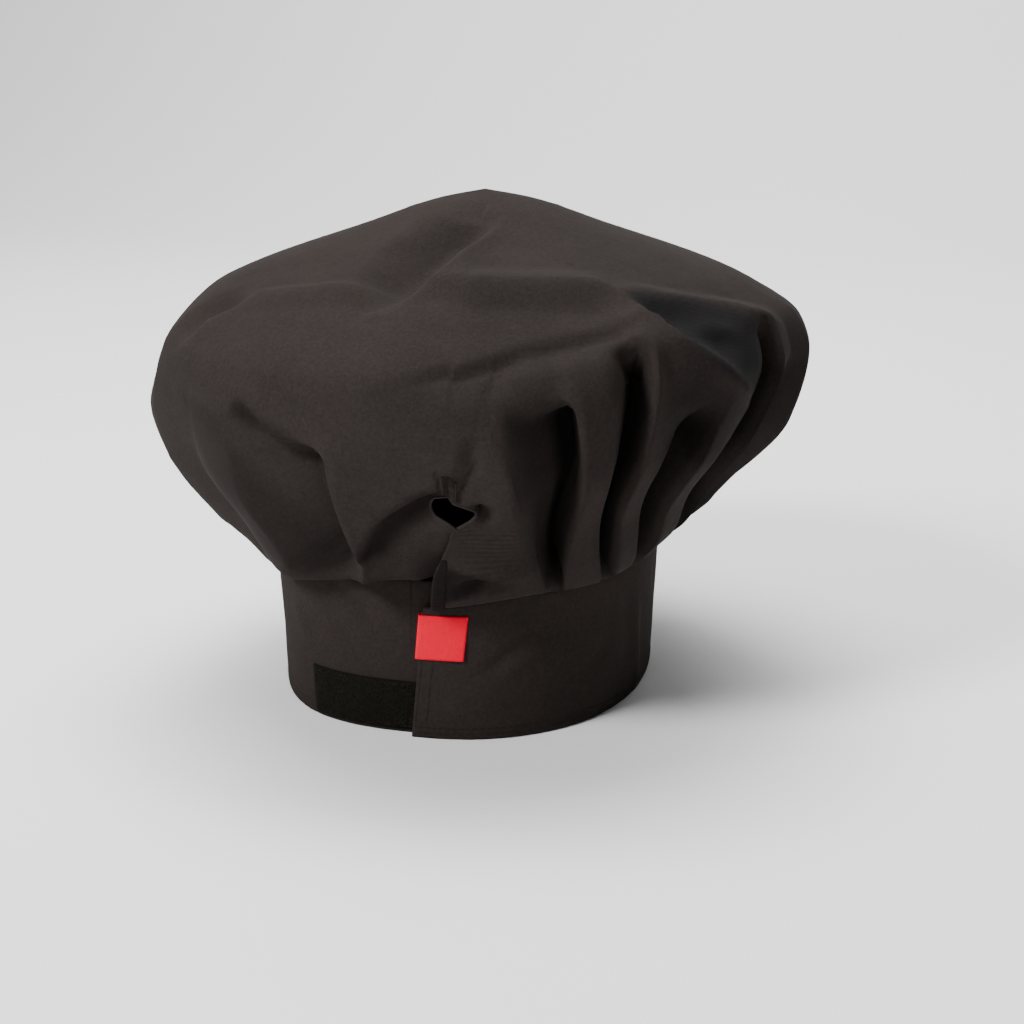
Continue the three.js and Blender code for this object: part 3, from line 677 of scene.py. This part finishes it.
def twill(name, colour, sheen_shade_facet=None, pitch=0.75 * MM):
    """Matte twill: fine slanted ribs, uneven dye, a little lint and soft small crumples. Given a
    facet colour, it also has painted shade and a painted bluish sheen on that facet, and painted
    shade in the pleats' depths, on shaded facets, under folds and in the puckers' furrows.
    """
    look = Look(name)
    look.cloth()
    flat, place = look.flat(), look.place()
    cloudy = look.noise(place, 24, 4, 0.6)
    fine = look.noise(place, 620, 3, 0.8)
    tone = look.math("MULTIPLY_ADD", cloudy, 0.8, look.math("MULTIPLY", fine, 1.3))
    colours = look.mix(look.math("SUBTRACT", tone, 0.55), shade(colour, 0.6), shade(colour, 1.5))
    ribs = look.ribs(flat, (0.7, 0.7, 0), pitch)
    colours = look.mix(look.math("MULTIPLY_ADD", ribs, 0.03, 0.1), colours, shade(colour, 1.9))
    lint = look.math("GREATER_THAN", look.noise(place, 2600, 1, 0.5), 0.735)
    colours = look.mix(look.math("MULTIPLY", lint, 0.35), colours, shade(colour, 4))
    crumple = look.bump(look.noise(place, 55, 5, 0.55), 1.6 * MM, 0.3)
    threads = look.bump(ribs, 0.02 * MM, 0.25, crumple)
    if sheen_shade_facet:
        # Painted shade and painted bluish sheen on the facet, with coarse ribs
        facet = look.number("sheen_shade_facet")
        coarse = look.ribs(place, (0.3, 0, 0.95), 1.4 * MM)
        blue = look.mix(look.math("MULTIPLY_ADD", coarse, 0.12, 0.5), shade(sheen_shade_facet, 0.7), shade(sheen_shade_facet, 1.4))
        colours = look.mix(look.math("MULTIPLY", facet, 0.85), colours, blue)
        wavy = look.ribs(look.number("up"), (1, 0, 0), 0.0095)
        height = look.math("MULTIPLY", wavy, look.number("puckers"))
        threads = look.bump(height, 0.5 * MM, 0.6, threads)
        # Painted shade: the pleats' depths, shaded facets and lines under folds (attribute depth) and the
        # puckers' furrows darken the colour
        painted_furrow_shade = look.math("MULTIPLY", look.math("MULTIPLY_ADD", wavy, -0.14, 0.03), look.number("puckers"))
        painted_dark = look.math("MAXIMUM", look.number("depth"), painted_furrow_shade)
        colours = look.mix(painted_dark, colours, shade(colour, 0.04))
    return look.finish(colours, threads)


def plain_look(name, colour, rough=0.95, sheen=0.0, grain=900, low=0.7, high=1.4):
    """One colour with fine uneven tone."""
    look = Look(name)
    look.cloth(rough, sheen)
    tone = look.noise(look.place(), grain, 3, 0.6)
    return look.finish(look.mix(tone, shade(colour, low), shade(colour, high)))


def woven_label(name, colour):
    """Satin label cloth with fine ribs both ways."""
    look = Look(name)
    look.cloth(0.75, 0.0)
    look.shader.inputs["Specular IOR Level"].default_value = 0.05
    flat = look.flat()
    across = look.ribs(flat, (0, 1, 0), 0.45 * MM)
    along = look.ribs(flat, (1, 0, 0), 0.7 * MM)
    weft = look.math("MULTIPLY", across, 0.12)
    tone = look.math("MULTIPLY_ADD", look.noise(look.place(), 1500, 2), 0.7, weft)
    colours = look.mix(tone, shade(colour, 0.85), shade(colour, 1.15))
    return look.finish(colours, look.bump(along, 0.03 * MM, 0.4, look.bump(across, 0.05 * MM, 0.5)))


def painted_light_inside_look(name, colour):
    """The inside of the cloth, painted brown as painted light that stands in for the light which comes
    through the weave.
    """
    look = Look(name)
    look.cloth()
    return look.finish(colour)


def hook_look(name, colour):
    """Stiff tape with small hooks in rows."""
    look = Look(name)
    look.cloth(0.55, 0.0)
    rows = look.bump(look.ribs(look.place(), (0, 0, 1), 1.5 * MM), 0.1 * MM, 0.4)
    hooks = look.bump(look.noise(look.place(), 1400, 2), 0.3 * MM, 0.8, rows)
    return look.finish(colour, hooks)


def add_piece(name, parts, material, replaced=()):
    """One object of several meshes, each as (points, faces)."""
    points, faces = [], []
    for part_points, part_faces in parts:
        start = len(points)
        points.extend(part_points)
        faces.extend([tuple(start + i for i in face) for face in part_faces])
    piece = mesh_object(name, points, faces, material)
    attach(piece, "root")
    if replaced:
        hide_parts(*replaced)
    return piece


def tube(line, radius, sides=6):
    """A closed tube round a line of points."""
    line = np.asarray(line, float)
    along = np.gradient(line, axis=0)
    along /= np.linalg.norm(along, axis=1, keepdims=True)
    guide = np.array([0.31, 0.2, 0.93])
    first = np.cross(along, guide)
    first /= np.linalg.norm(first, axis=1, keepdims=True)
    second = np.cross(along, first)
    turn = 2 * np.pi * np.arange(sides) / sides
    rings = line[:, None] + radius * (
        np.cos(turn)[None, :, None] * first[:, None] + np.sin(turn)[None, :, None] * second[:, None]
    )
    faces = [
        (i * sides + k, i * sides + (k + 1) % sides, (i + 1) * sides + (k + 1) % sides, (i + 1) * sides + k)
        for i in range(len(line) - 1)
        for k in range(sides)
    ]
    faces.append(tuple(range(sides))[::-1])
    faces.append(tuple((len(line) - 1) * sides + k for k in range(sides)))
    return rings.reshape(-1, 3), faces


def thicken(piece, cloth, offset=-1, painted_light_inside=None):
    thick = piece.modifiers.new("thickness", "SOLIDIFY")
    # The inner faces take a second look, for the crown the brown of painted light
    if painted_light_inside:
        piece.data.materials.append(painted_light_inside)
        thick.material_offset = 1
    thick.thickness = cloth
    thick.offset = offset
    thick.use_even_offset = False


def settle(piece, held):
    """Lets the cloth grow a little and buckle, each vertex held to its form by 0 to 1."""
    group = piece.vertex_groups.new(name="held")
    for i, weight in enumerate(held):
        group.add([i], float(weight), "REPLACE")
    cloth = piece.modifiers.new("settle", "CLOTH")
    settings = cloth.settings
    for key, value in TWILL_CLOTH.items():
        setattr(settings, key, value)
    settings.vertex_group_mass = "held"
    settings.shrink_min = -SETTLE["grow"]
    settings.effector_weights.gravity = 0.3
    cloth.collision_settings.use_collision = False
    cloth.point_cache.frame_end = SETTLE["frames"]
    for number in range(1, SETTLE["frames"] + 1):
        bpy.context.scene.frame_set(number)
    settled = piece.evaluated_get(bpy.context.evaluated_depsgraph_get())
    shape = settled.to_mesh()
    points = np.empty(len(shape.vertices) * 3)
    shape.vertices.foreach_get("co", points)
    settled.to_mesh_clear()
    piece.modifiers.remove(cloth)
    piece.vertex_groups.remove(group)
    bpy.context.scene.frame_set(1)
    before = np.empty_like(points)
    piece.data.vertices.foreach_get("co", before)
    moved = evened(piece, (points - before).reshape(-1, 3), np.asarray(held) >= 1)
    piece.data.vertices.foreach_set("co", before + moved.reshape(-1))
    piece.data.update()


def evened(piece, moved, fast):
    """The ways that vertices moved, each evened out with its neighbours, none of it where fast."""
    ends = np.empty(len(piece.data.edges) * 2, np.int32)
    piece.data.edges.foreach_get("vertices", ends)
    first, second = ends.reshape(-1, 2).T
    near = np.bincount(ends, minlength=len(moved))[:, None]
    moved = np.where(fast[:, None], 0, moved)
    for _ in range(SETTLE["evened"]):
        total = np.zeros_like(moved)
        np.add.at(total, first, moved[second])
        np.add.at(total, second, moved[first])
        moved = np.where(fast[:, None], 0, 0.4 * moved + 0.6 * total / near)
    return moved


class Crown:
    """The crown's grid of points, and places on it."""

    def __init__(self):
        self.shares, self.around, self.grid, self.lifts = crown_points()
        self.joined = int(np.searchsorted(self.shares, SLIT[-1][0]))
        across = np.gradient(self.grid, axis=1)
        up = np.gradient(self.grid, axis=0)
        out = np.cross(across, up)
        self.out = out / np.maximum(np.linalg.norm(out, axis=2, keepdims=True), 1e-12)

    def at(self, azimuth, share, off=0.0):
        j = float(np.interp(share, self.shares, np.arange(len(self.shares))))
        low = min(int(j), len(self.shares) - 2)
        found = 0
        for row, weight in ((low, 1 - (j - low)), (low + 1, j - low)):
            turned = azimuth + 360 if azimuth < self.around[row, 0] else azimuth
            i = float(np.interp(turned, self.around[row], np.arange(self.around.shape[1])))
            left = min(int(i), self.around.shape[1] - 2)
            for column, part in ((left, 1 - (i - left)), (left + 1, i - left)):
                found = found + weight * part * (self.grid[row, column] + off * self.out[row, column])
        return found

    def edge(self, column, first, last):
        rows = [j for j, share in enumerate(self.shares) if first <= share <= last]
        return self.grid[rows, column]


def make_crown(crown, material, painted_light_inside):
    rows, columns = crown.grid.shape[:2]
    faces = grid_faces(rows, columns, crown.joined)
    piece = mesh_object("crown_cloth", crown.grid.reshape(-1, 3), faces, material)
    azimuth = crown.around.reshape(-1)
    share = np.repeat(crown.shares, columns)
    reach = (1 - share) * CLIMB * 0.68
    angle = np.radians(azimuth)
    give_flat(piece, np.column_stack([reach * np.sin(angle), -reach * np.cos(angle)]))
    # Masks for the facet with painted shade and sheen, the puckers and the share up the crown, and the
    # painted shade, kept as depth
    give_numbers(piece, "sheen_shade_facet", inside(azimuth, share, SHEEN_SHADE_FACET))
    give_numbers(piece, "puckers", inside(azimuth, share, PUCKERS, 0.03))
    give_numbers(piece, "up", share)
    give_numbers(piece, "depth", painted_shade(azimuth, share, crown.lifts.reshape(-1)))
    far = np.linalg.norm(crown.grid - crown.at(*VENT), axis=2).reshape(-1)
    held = np.maximum(SETTLE["held"], 1 - smoothstep(far, 0.6 * SETTLE["vent"], SETTLE["vent"]))
    held = np.maximum(held, smoothstep(share, SETTLE["peak"] - 0.1, SETTLE["peak"]))
    turn = np.mod(azimuth + 180, 360) - 180
    front = smoothstep(turn, -70, -50) * (1 - smoothstep(turn, 85, 100)) * (1 - smoothstep(share, 0.42, 0.6))
    held = np.maximum(held, SETTLE["front"] * front)
    held = np.maximum(held, 1 - smoothstep(share, 0.03, 0.07))
    slit_left, slit_right = crown.around[:, -1].repeat(columns), crown.around[:, 0].repeat(columns)
    beside = (azimuth < slit_right + STRIP["width"] + 1) | (azimuth > slit_left - 2)
    held[beside & (share < crown.shares[crown.joined] + 0.01)] = 1
    give_numbers(piece, "held", held)
    drop_loose(piece)
    kept = np.empty(len(piece.data.vertices), np.float32)
    piece.data.attributes["held"].data.foreach_get("value", kept)
    piece.data.attributes.remove(piece.data.attributes["held"])
    settle(piece, kept)
    thicken(piece, CLOTH, painted_light_inside=painted_light_inside)
    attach(piece, "root")
    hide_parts("crown")
    return piece


def far_from(azimuth, share, places):
    """How far each place is from a line of places on the crown."""
    reach = BAND_LENGTH / 2 + (RIM_REACH - BAND_LENGTH / 2) * np.minimum(1, share / 0.4)
    found = np.full_like(share, np.inf)
    for first, second in zip(places, places[1:]):
        a, b = (
            np.column_stack([np.radians(place[0] - azimuth) * reach, (place[1] - share) * CLIMB])
            for place in (first, second)
        )
        line = b - a
        t = np.clip(-(a * line).sum(axis=1) / (line * line).sum(axis=1), 0, 1)
        found = np.minimum(found, np.linalg.norm(a + line * t[:, None], axis=1))
    return found


def painted_shade(azimuth, share, lift):
    """How much painted shade each place gets in its colour: in the depth of a pleat, on shaded facets and
    under a fold.
    """
    turn = np.mod(azimuth + 180, 360) - 180
    # Painted shade in the deepest valleys of the pleats
    total = 0.9 * smoothstep(-lift / FOLD_DEPTH, 0.95, 1.75)
    for corners, painted_dark, soft in PAINTED_SHADE_FACETS:
        total = np.maximum(total, painted_dark * inside(azimuth, share, corners, soft))
    for *places, painted_dark, reach in PAINTED_SHADE_LINES:
        total = np.maximum(total, painted_dark * (1 - smoothstep(far_from(turn, share, places), 0.2 * reach, reach)))
    return total


def vent_rim(crown, material):
    """The bound edge of the vent, up its left side and down its right one."""
    first = 0.196
    left = crown.edge(-1, first, SLIT[-1][0])
    right = crown.edge(0, first, SLIT[-1][0])
    line = np.concatenate([left, right[::-1]])
    middle = line.mean(axis=0)
    line = line + (line - middle) * 0.03
    return add_piece("vent_rim", [tube(line, 0.55 * MM, 8)], material)


def bar_tack(crown, material):
    """Close threads side by side over the end of the vent, with a cord down each side."""
    parts = []
    degree = np.linalg.norm(crown.at(15, TACK["share"]) - crown.at(14, TACK["share"]))
    wide = TACK["width"] / degree / 2
    high = TACK["height"] / CLIMB / 0.62 / 2
    for i in range(TACK["threads"]):
        share = TACK["share"] + high * (2 * i / (TACK["threads"] - 1) - 1)
        line = [
            crown.at(TACK["azimuth"] + wide * k, share, off * MM)
            for k, off in ((-1.0, 0.05), (-0.8, 0.45), (0, 0.55), (0.8, 0.45), (1.0, 0.05))
        ]
        parts.append(tube(line, 0.27 * MM, 6))
    for k in (-1.0, 1.0):
        line = [
            crown.at(TACK["azimuth"] + wide * k, TACK["share"] + high * j, 0.35 * MM)
            for j in np.linspace(-1.1, 1.1, 7)
        ]
        parts.append(tube(line, 0.5 * MM, 6))
    return add_piece("bar_tack", parts, material)


def slit_strip(crown, material):
    """The bound free edge of the crown, from the seam up to the vent."""
    ups = np.linspace(STRIP["low"], STRIP["high"], 40)
    ways = np.linspace(0, 1, 9)
    points, flat = [], []
    for k, share in enumerate(ups):
        start = slit("right", share)
        taper = math.sqrt(1 - (k / len(ups)) ** 3)
        for way in ways:
            round_off = 0.55 * MM * taper * math.sqrt(max(0.0, 1 - (2 * way - 1) ** 4)) + 0.25 * MM * taper
            gather = 0.16 * MM * math.sin(2 * math.pi * k / 3.1)
            azimuth = start + 0.1 + STRIP["width"] * taper * way
            points.append(crown.at(azimuth, share, round_off + taper * gather))
            flat.append((way * 6 * MM, share * CLIMB))
    count = len(ways)
    faces = [
        (j * count + i, j * count + i + 1, (j + 1) * count + i + 1, (j + 1) * count + i)
        for j in range(len(ups) - 1)
        for i in range(count - 1)
    ]
    piece = add_piece("slit_binding", [(points, faces)], material)
    give_flat(piece, flat)
    thicken(piece, 0.3 * MM)
    return piece


def band_lift(azimuth, up):
    """The soft folds of the band at places (azimuth, share of its height)."""
    total = np.zeros(np.broadcast(azimuth, up).shape)
    for first, second, lift, reach in BAND_FOLDS:
        a = np.array([first[0] * BAND_DEGREE, first[1] * BAND_HEIGHT])
        line = np.array([second[0] * BAND_DEGREE, second[1] * BAND_HEIGHT]) - a
        x, y = azimuth * BAND_DEGREE - a[0], up * BAND_HEIGHT - a[1]
        t = np.clip((x * line[0] + y * line[1]) / (line @ line), 0, 1)
        distance = np.hypot(x - t * line[0], y - t * line[1])
        ends = np.minimum(1, 5 * t * (1 - t) + 0.15)
        total = total + BAND_FOLD * lift * ends * np.exp(-((distance / reach) ** 2) * 1.5)
    wave = 0.35 * MM * np.sin(np.radians(azimuth * 7)) * np.sin(math.pi * np.clip(up, 0, 1))
    return total + wave


def on_cloth_band(azimuth, up, off=0.0):
    """A place on the band's outside, folds included."""
    azimuth, up = np.broadcast_arrays(np.asarray(azimuth, float), np.asarray(up, float))
    beyond_closure = smoothstep(azimuth, 4, 22) * (1 - smoothstep(azimuth, 326, 334))
    under_end = smoothstep(azimuth, 333, 338) * (1 - smoothstep(azimuth, 350, 358))
    ease = beyond_closure + under_end
    above = smoothstep(up, 0.4, 0.5)
    calm = np.where((azimuth > 326) & (azimuth < 366), ease * above, np.minimum(1, ease))
    return on_band(azimuth, up * band_top(azimuth), off + calm * band_lift(azimuth, up))


def ring_faces(rings, count):
    """The faces of a closed form of rings of count points each, with both its ends."""
    faces = [
        (i * count + k, (i + 1) * count + k, (i + 1) * count + (k + 1) % count, i * count + (k + 1) % count)
        for i in range(rings - 1)
        for k in range(count)
    ]
    faces.append(tuple(range(count)))
    faces.append(tuple((rings - 1) * count + k for k in range(count))[::-1])
    return faces


def make_band(material):
    """The band as one strip with round edges, all of its section one closed ring of points."""
    half = BAND_WALL / 2
    rim = np.linspace(0, math.pi, 6)
    ups = np.linspace(0.02, 0.98, 30)
    downs = np.linspace(0.98, 0.02, 12)
    section = [(up, 0.0, 1.0) for up in ups]
    section += [(0.98 + 0.02 * math.sin(t), 0.0, math.cos(t)) for t in rim[1:-1]]
    section += [(up, 0.0, -1.0) for up in downs]
    section += [(0.02 - 0.02 * math.sin(t), 0.0, -math.cos(t)) for t in rim[1:-1]]
    up = np.array([row[0] for row in section])
    side_of = np.array([row[2] for row in section])
    ends = np.array([0, 0.0007, 0.0016, 0.003])
    ways = np.concatenate([ends, np.linspace(0.005, 0.995, 420), 1 - ends[::-1]])
    length = 600 * MM
    points, flat = [], []
    for way in ways:
        start = OUTER_END["foot"] + (OUTER_END["top"] - OUTER_END["foot"]) * up
        azimuth = start + (UNDER_END - start) * way
        deep = min(1.0, way * length / half, (1 - way) * length / half)
        thin = max(0.15, math.sqrt(1 - (1 - deep) ** 2))
        points.append(on_cloth_band(azimuth, up, -half + half * thin * side_of))
        flat.extend(np.column_stack([np.full(len(up), way * length), up * BAND_HEIGHT]))
    count = len(section)
    faces = ring_faces(len(ways), count)
    piece = add_piece("band_cloth", [(np.concatenate(points), faces)], material, ["band"])
    give_flat(piece, flat)
    return piece


def topstitching(material):
    """Short threads in rows, each with its ends sunk into the cloth."""
    parts = []
    for first, last in STITCH_ROWS:
        a, b = np.array(first, float), np.array(last, float)
        if b[0] - a[0] > 20:
            length = (b[0] - a[0]) * BAND_DEGREE
        else:
            length = np.linalg.norm(on_cloth_band(*b) - on_cloth_band(*a))
        count = int(length / STITCH["step"])
        for i in range(count):
            t = (i + 0.15) / count
            size = STITCH["length"] / length
            line = [
                on_cloth_band(*(a + (b - a) * (t + size * k)), off)
                for k, off in ((0, -0.1 * MM), (0.15, STITCH["rise"]), (0.85, STITCH["rise"]), (1, -0.1 * MM))
            ]
            parts.append(tube(line, STITCH["radius"], 5))
    return add_piece("topstitching", parts, material)


def tape_slab(name, tape, inner, thick, material, replaced):
    """A strip on the band with round corners at its long sides."""
    half = thick / 2
    ups = np.linspace(0, 1, 12)
    section = [(up, 1.0) for up in ups] + [(up, -1.0) for up in ups[::-1]]
    ways = np.linspace(tape["first"], tape["last"], 70)
    points = []
    for azimuth in ways:
        for up, way in section:
            edge = min(1.0, min(up, 1 - up) * 20 + 0.35)
            height = tape["low"] + up * TAPE_HEIGHT
            points.append(on_band(azimuth, height, inner + half + half * way * edge))
    count = len(section)
    faces = ring_faces(len(ways), count)
    return add_piece(name, [(points, faces)], material, replaced)


def loop_pile(material):
    """Many small loops of thread that stand on the loop tape."""
    chance = np.random.default_rng(7)
    count = PILE["count"]
    azimuth = LOOP_TAPE["first"] + 0.9 + chance.random(count) * (PILE["last"] - LOOP_TAPE["first"] - 0.9)
    height = LOOP_TAPE["low"] + TAPE_HEIGHT * (0.05 + 0.9 * chance.random(count))
    turn = chance.random(count) * 2 * math.pi
    size = 0.6 + 0.7 * chance.random(count)
    lean = (chance.random(count) - 0.5) * 0.9 * MM
    t = np.linspace(0, 1, 5)[None]
    arch = np.sin(np.pi * t)
    turn, size, lean = turn[:, None], size[:, None], lean[:, None]
    along = (t - 0.5) * PILE["span"] * size
    across = lean * arch
    azimuths = azimuth[:, None] + (np.cos(turn) * along - np.sin(turn) * across) / TAPE_DEGREE
    heights = height[:, None] + np.sin(turn) * along + np.cos(turn) * across
    lines = on_band(azimuths, heights, GAP + TAPE_BASE - 0.05 * MM + PILE["height"] * size * arch)
    parts = [tube(line, PILE["radius"], 3) for line in lines]
    return add_piece("loop_pile", parts, material)


def make_label(material):
    """The label: one strip from behind the free edge, round it and along the front."""
    front, back = GAP + LABEL_CLOTH / 2, -BAND_WALL - GAP - LABEL_CLOTH / 2
    middle, spread = (front + back) / 2, (front - back) / 2
    path = [(LABEL_RETURN * (1 - t), back) for t in np.linspace(0, 1, 6)]
    round_edge = np.linspace(0, math.pi, 13)[1:-1]
    path += [(-LABEL_BULGE * math.sin(t), middle - spread * math.cos(t)) for t in round_edge]
    path += [(LABEL_SIZE * t, front) for t in np.linspace(0, 1, 22)]
    length = [0.0]
    for (a, b), (c, d) in zip(path, path[1:]):
        length.append(length[-1] + math.hypot(c - a, d - b))
    points, flat = [], []
    rows = np.linspace(0, 1, 22)
    for (past, offset), gone in zip(path, length):
        for up in rows:
            height = LABEL_LOW + up * LABEL_SIZE
            edge = OUTER_END["foot"] + (OUTER_END["top"] - OUTER_END["foot"]) * height / BAND_HEIGHT
            loose = smoothstep(past, 0.4 * LABEL_SIZE, LABEL_SIZE) if past > 0 and offset > 0 else 0.0
            curl = 0.5 * MM * loose * (1 - up) ** 2 + 0.25 * MM * loose * math.sin(5 * up + 0.6)
            points.append(on_band(edge + past / LABEL_DEGREE, height, offset + max(0.0, curl)))
            flat.append((gone, up * LABEL_SIZE))
    count = len(rows)
    faces = [
        (i * count + k, (i + 1) * count + k, (i + 1) * count + k + 1, i * count + k + 1)
        for i in range(len(path) - 1)
        for k in range(count - 1)
    ]
    piece = add_piece("label_cloth", [(points, faces)], material, ["label"])
    give_flat(piece, flat)
    thicken(piece, LABEL_CLOTH, 0)
    return piece


def make_camera():
    """The photo's view: the band's centre lands right of and below the middle, as in the photo."""
    distance, azimuth, elevation = 0.85, math.radians(17), math.radians(21)
    focal_px, band_px, frame_px = 1683, (471, 660), 1024
    back = Vector((
        math.sin(azimuth) * math.cos(elevation),
        -math.cos(azimuth) * math.cos(elevation),
        math.sin(elevation),
    ))
    right = Vector((math.cos(azimuth), math.sin(azimuth), 0))
    up = right.cross(-back)
    aim = -back
    aim += right * (frame_px / 2 - band_px[0]) / focal_px
    aim += up * (band_px[1] - frame_px / 2) / focal_px
    data = bpy.data.cameras.new("camera")
    data.sensor_width = 36
    data.lens = 36 * focal_px / frame_px
    camera = bpy.data.objects.new("camera", data)
    bpy.context.scene.collection.objects.link(camera)
    z_axis = -aim.normalized()
    x_axis = Vector((0, 0, 1)).cross(z_axis).normalized()
    turn = Matrix((x_axis, z_axis.cross(x_axis), z_axis)).transposed().to_4x4()
    camera.matrix_world = Matrix.Translation(CENTRE + back * distance) @ turn
    bpy.context.scene.camera = camera


def make_light(name, place, aim, size, power):
    data = bpy.data.lights.new(name, "AREA")
    data.size = size
    data.energy = power
    lamp = bpy.data.objects.new(name, data)
    bpy.context.scene.collection.objects.link(lamp)
    lamp.location = place
    lamp.rotation_euler = (Vector(aim) - Vector(place)).to_track_quat("-Z", "Y").to_euler()


def make_stage():
    """A pale floor that curves up into a pale wall behind the hat, and soft light."""
    look = Look("studio")
    look.finish((0.9, 0.9, 0.9))
    look.shader.inputs["Roughness"].default_value = 0.9
    curve = [(-6.0, 0.0), (1.6, 0.0)]
    curve += [(1.6 + math.sin(t), 1 - math.cos(t)) for t in np.linspace(0, math.pi / 2, 17)[1:]]
    curve += [(2.6, 5.0)]
    points = [(x, y, z) for y, z in curve for x in (-6.0, 6.0)]
    faces = [(2 * i, 2 * i + 1, 2 * i + 3, 2 * i + 2) for i in range(len(curve) - 1)]
    mesh_object("floor", points, faces, look.material)
    world = bpy.data.worlds.new("studio")
    bpy.context.scene.world = world
    world.use_nodes = True
    sky = world.node_tree.nodes["Background"]
    sky.inputs["Color"].default_value = (1, 1, 1, 1)
    sky.inputs["Strength"].default_value = 0.12
    make_light("key", (-0.85, -1.25, 1.35), (0, 0, 0.12), 0.5, 47)
    make_light("top", (-0.3, 0.3, 1.9), (0, 0, 0.12), 1.2, 36)
    make_light("wall", (0.0, 0.9, 2.6), (0, 2.4, 0.6), 1.6, 80)


def main():
    make_camera()
    make_stage()
    crown = Crown()
    crown_colour, band_colour = (0.0196, 0.0156, 0.0142), (0.0196, 0.0154, 0.0138)
    # The third colour is the facet's painted shade and painted bluish sheen
    black = twill("crown_twill", crown_colour, (0.0118, 0.0114, 0.0122))
    band_look = twill("band_twill", band_colour)
    thread = plain_look("thread", (0.0185, 0.0148, 0.0134), 0.9, 0.0)
    binding = plain_look("binding", (0.024, 0.02, 0.0185), 0.95, 0.0)
    # The inside's brown colour is painted light for the light that comes through the cloth
    cloth = make_crown(crown, black, painted_light_inside_look("crown_inside_painted_light", (0.03, 0.014, 0.010)))
    rim = vent_rim(crown, binding)
    tack = bar_tack(crown, thread)
    # The slit's binding is painted 0.42 times as dark as the band: painted shade of the recess it lies in
    strip = slit_strip(crown, twill("slit_binding", tuple(0.42 * c for c in band_colour)))
    band = make_band(band_look)
    stitches = topstitching(thread)
    tape_look = plain_look("loop_base", (0.006, 0.0052, 0.0036), 1.0, 0.0)
    tape = tape_slab("loop_strip", LOOP_TAPE, GAP, TAPE_BASE, tape_look, ["loop_tape"])
    pile = loop_pile(plain_look("loop_pile", (0.0175, 0.0155, 0.0105), 0.95, 0.05, 700, 0.3, 2.4))
    label = make_label(woven_label("label", (0.82, 0.0, 0.03)))
    hook = bpy.data.objects["hook_tape"]
    for place in hook.material_slots:
        place.material = hook_look("hook_tape", (0.012, 0.012, 0.012))


main()
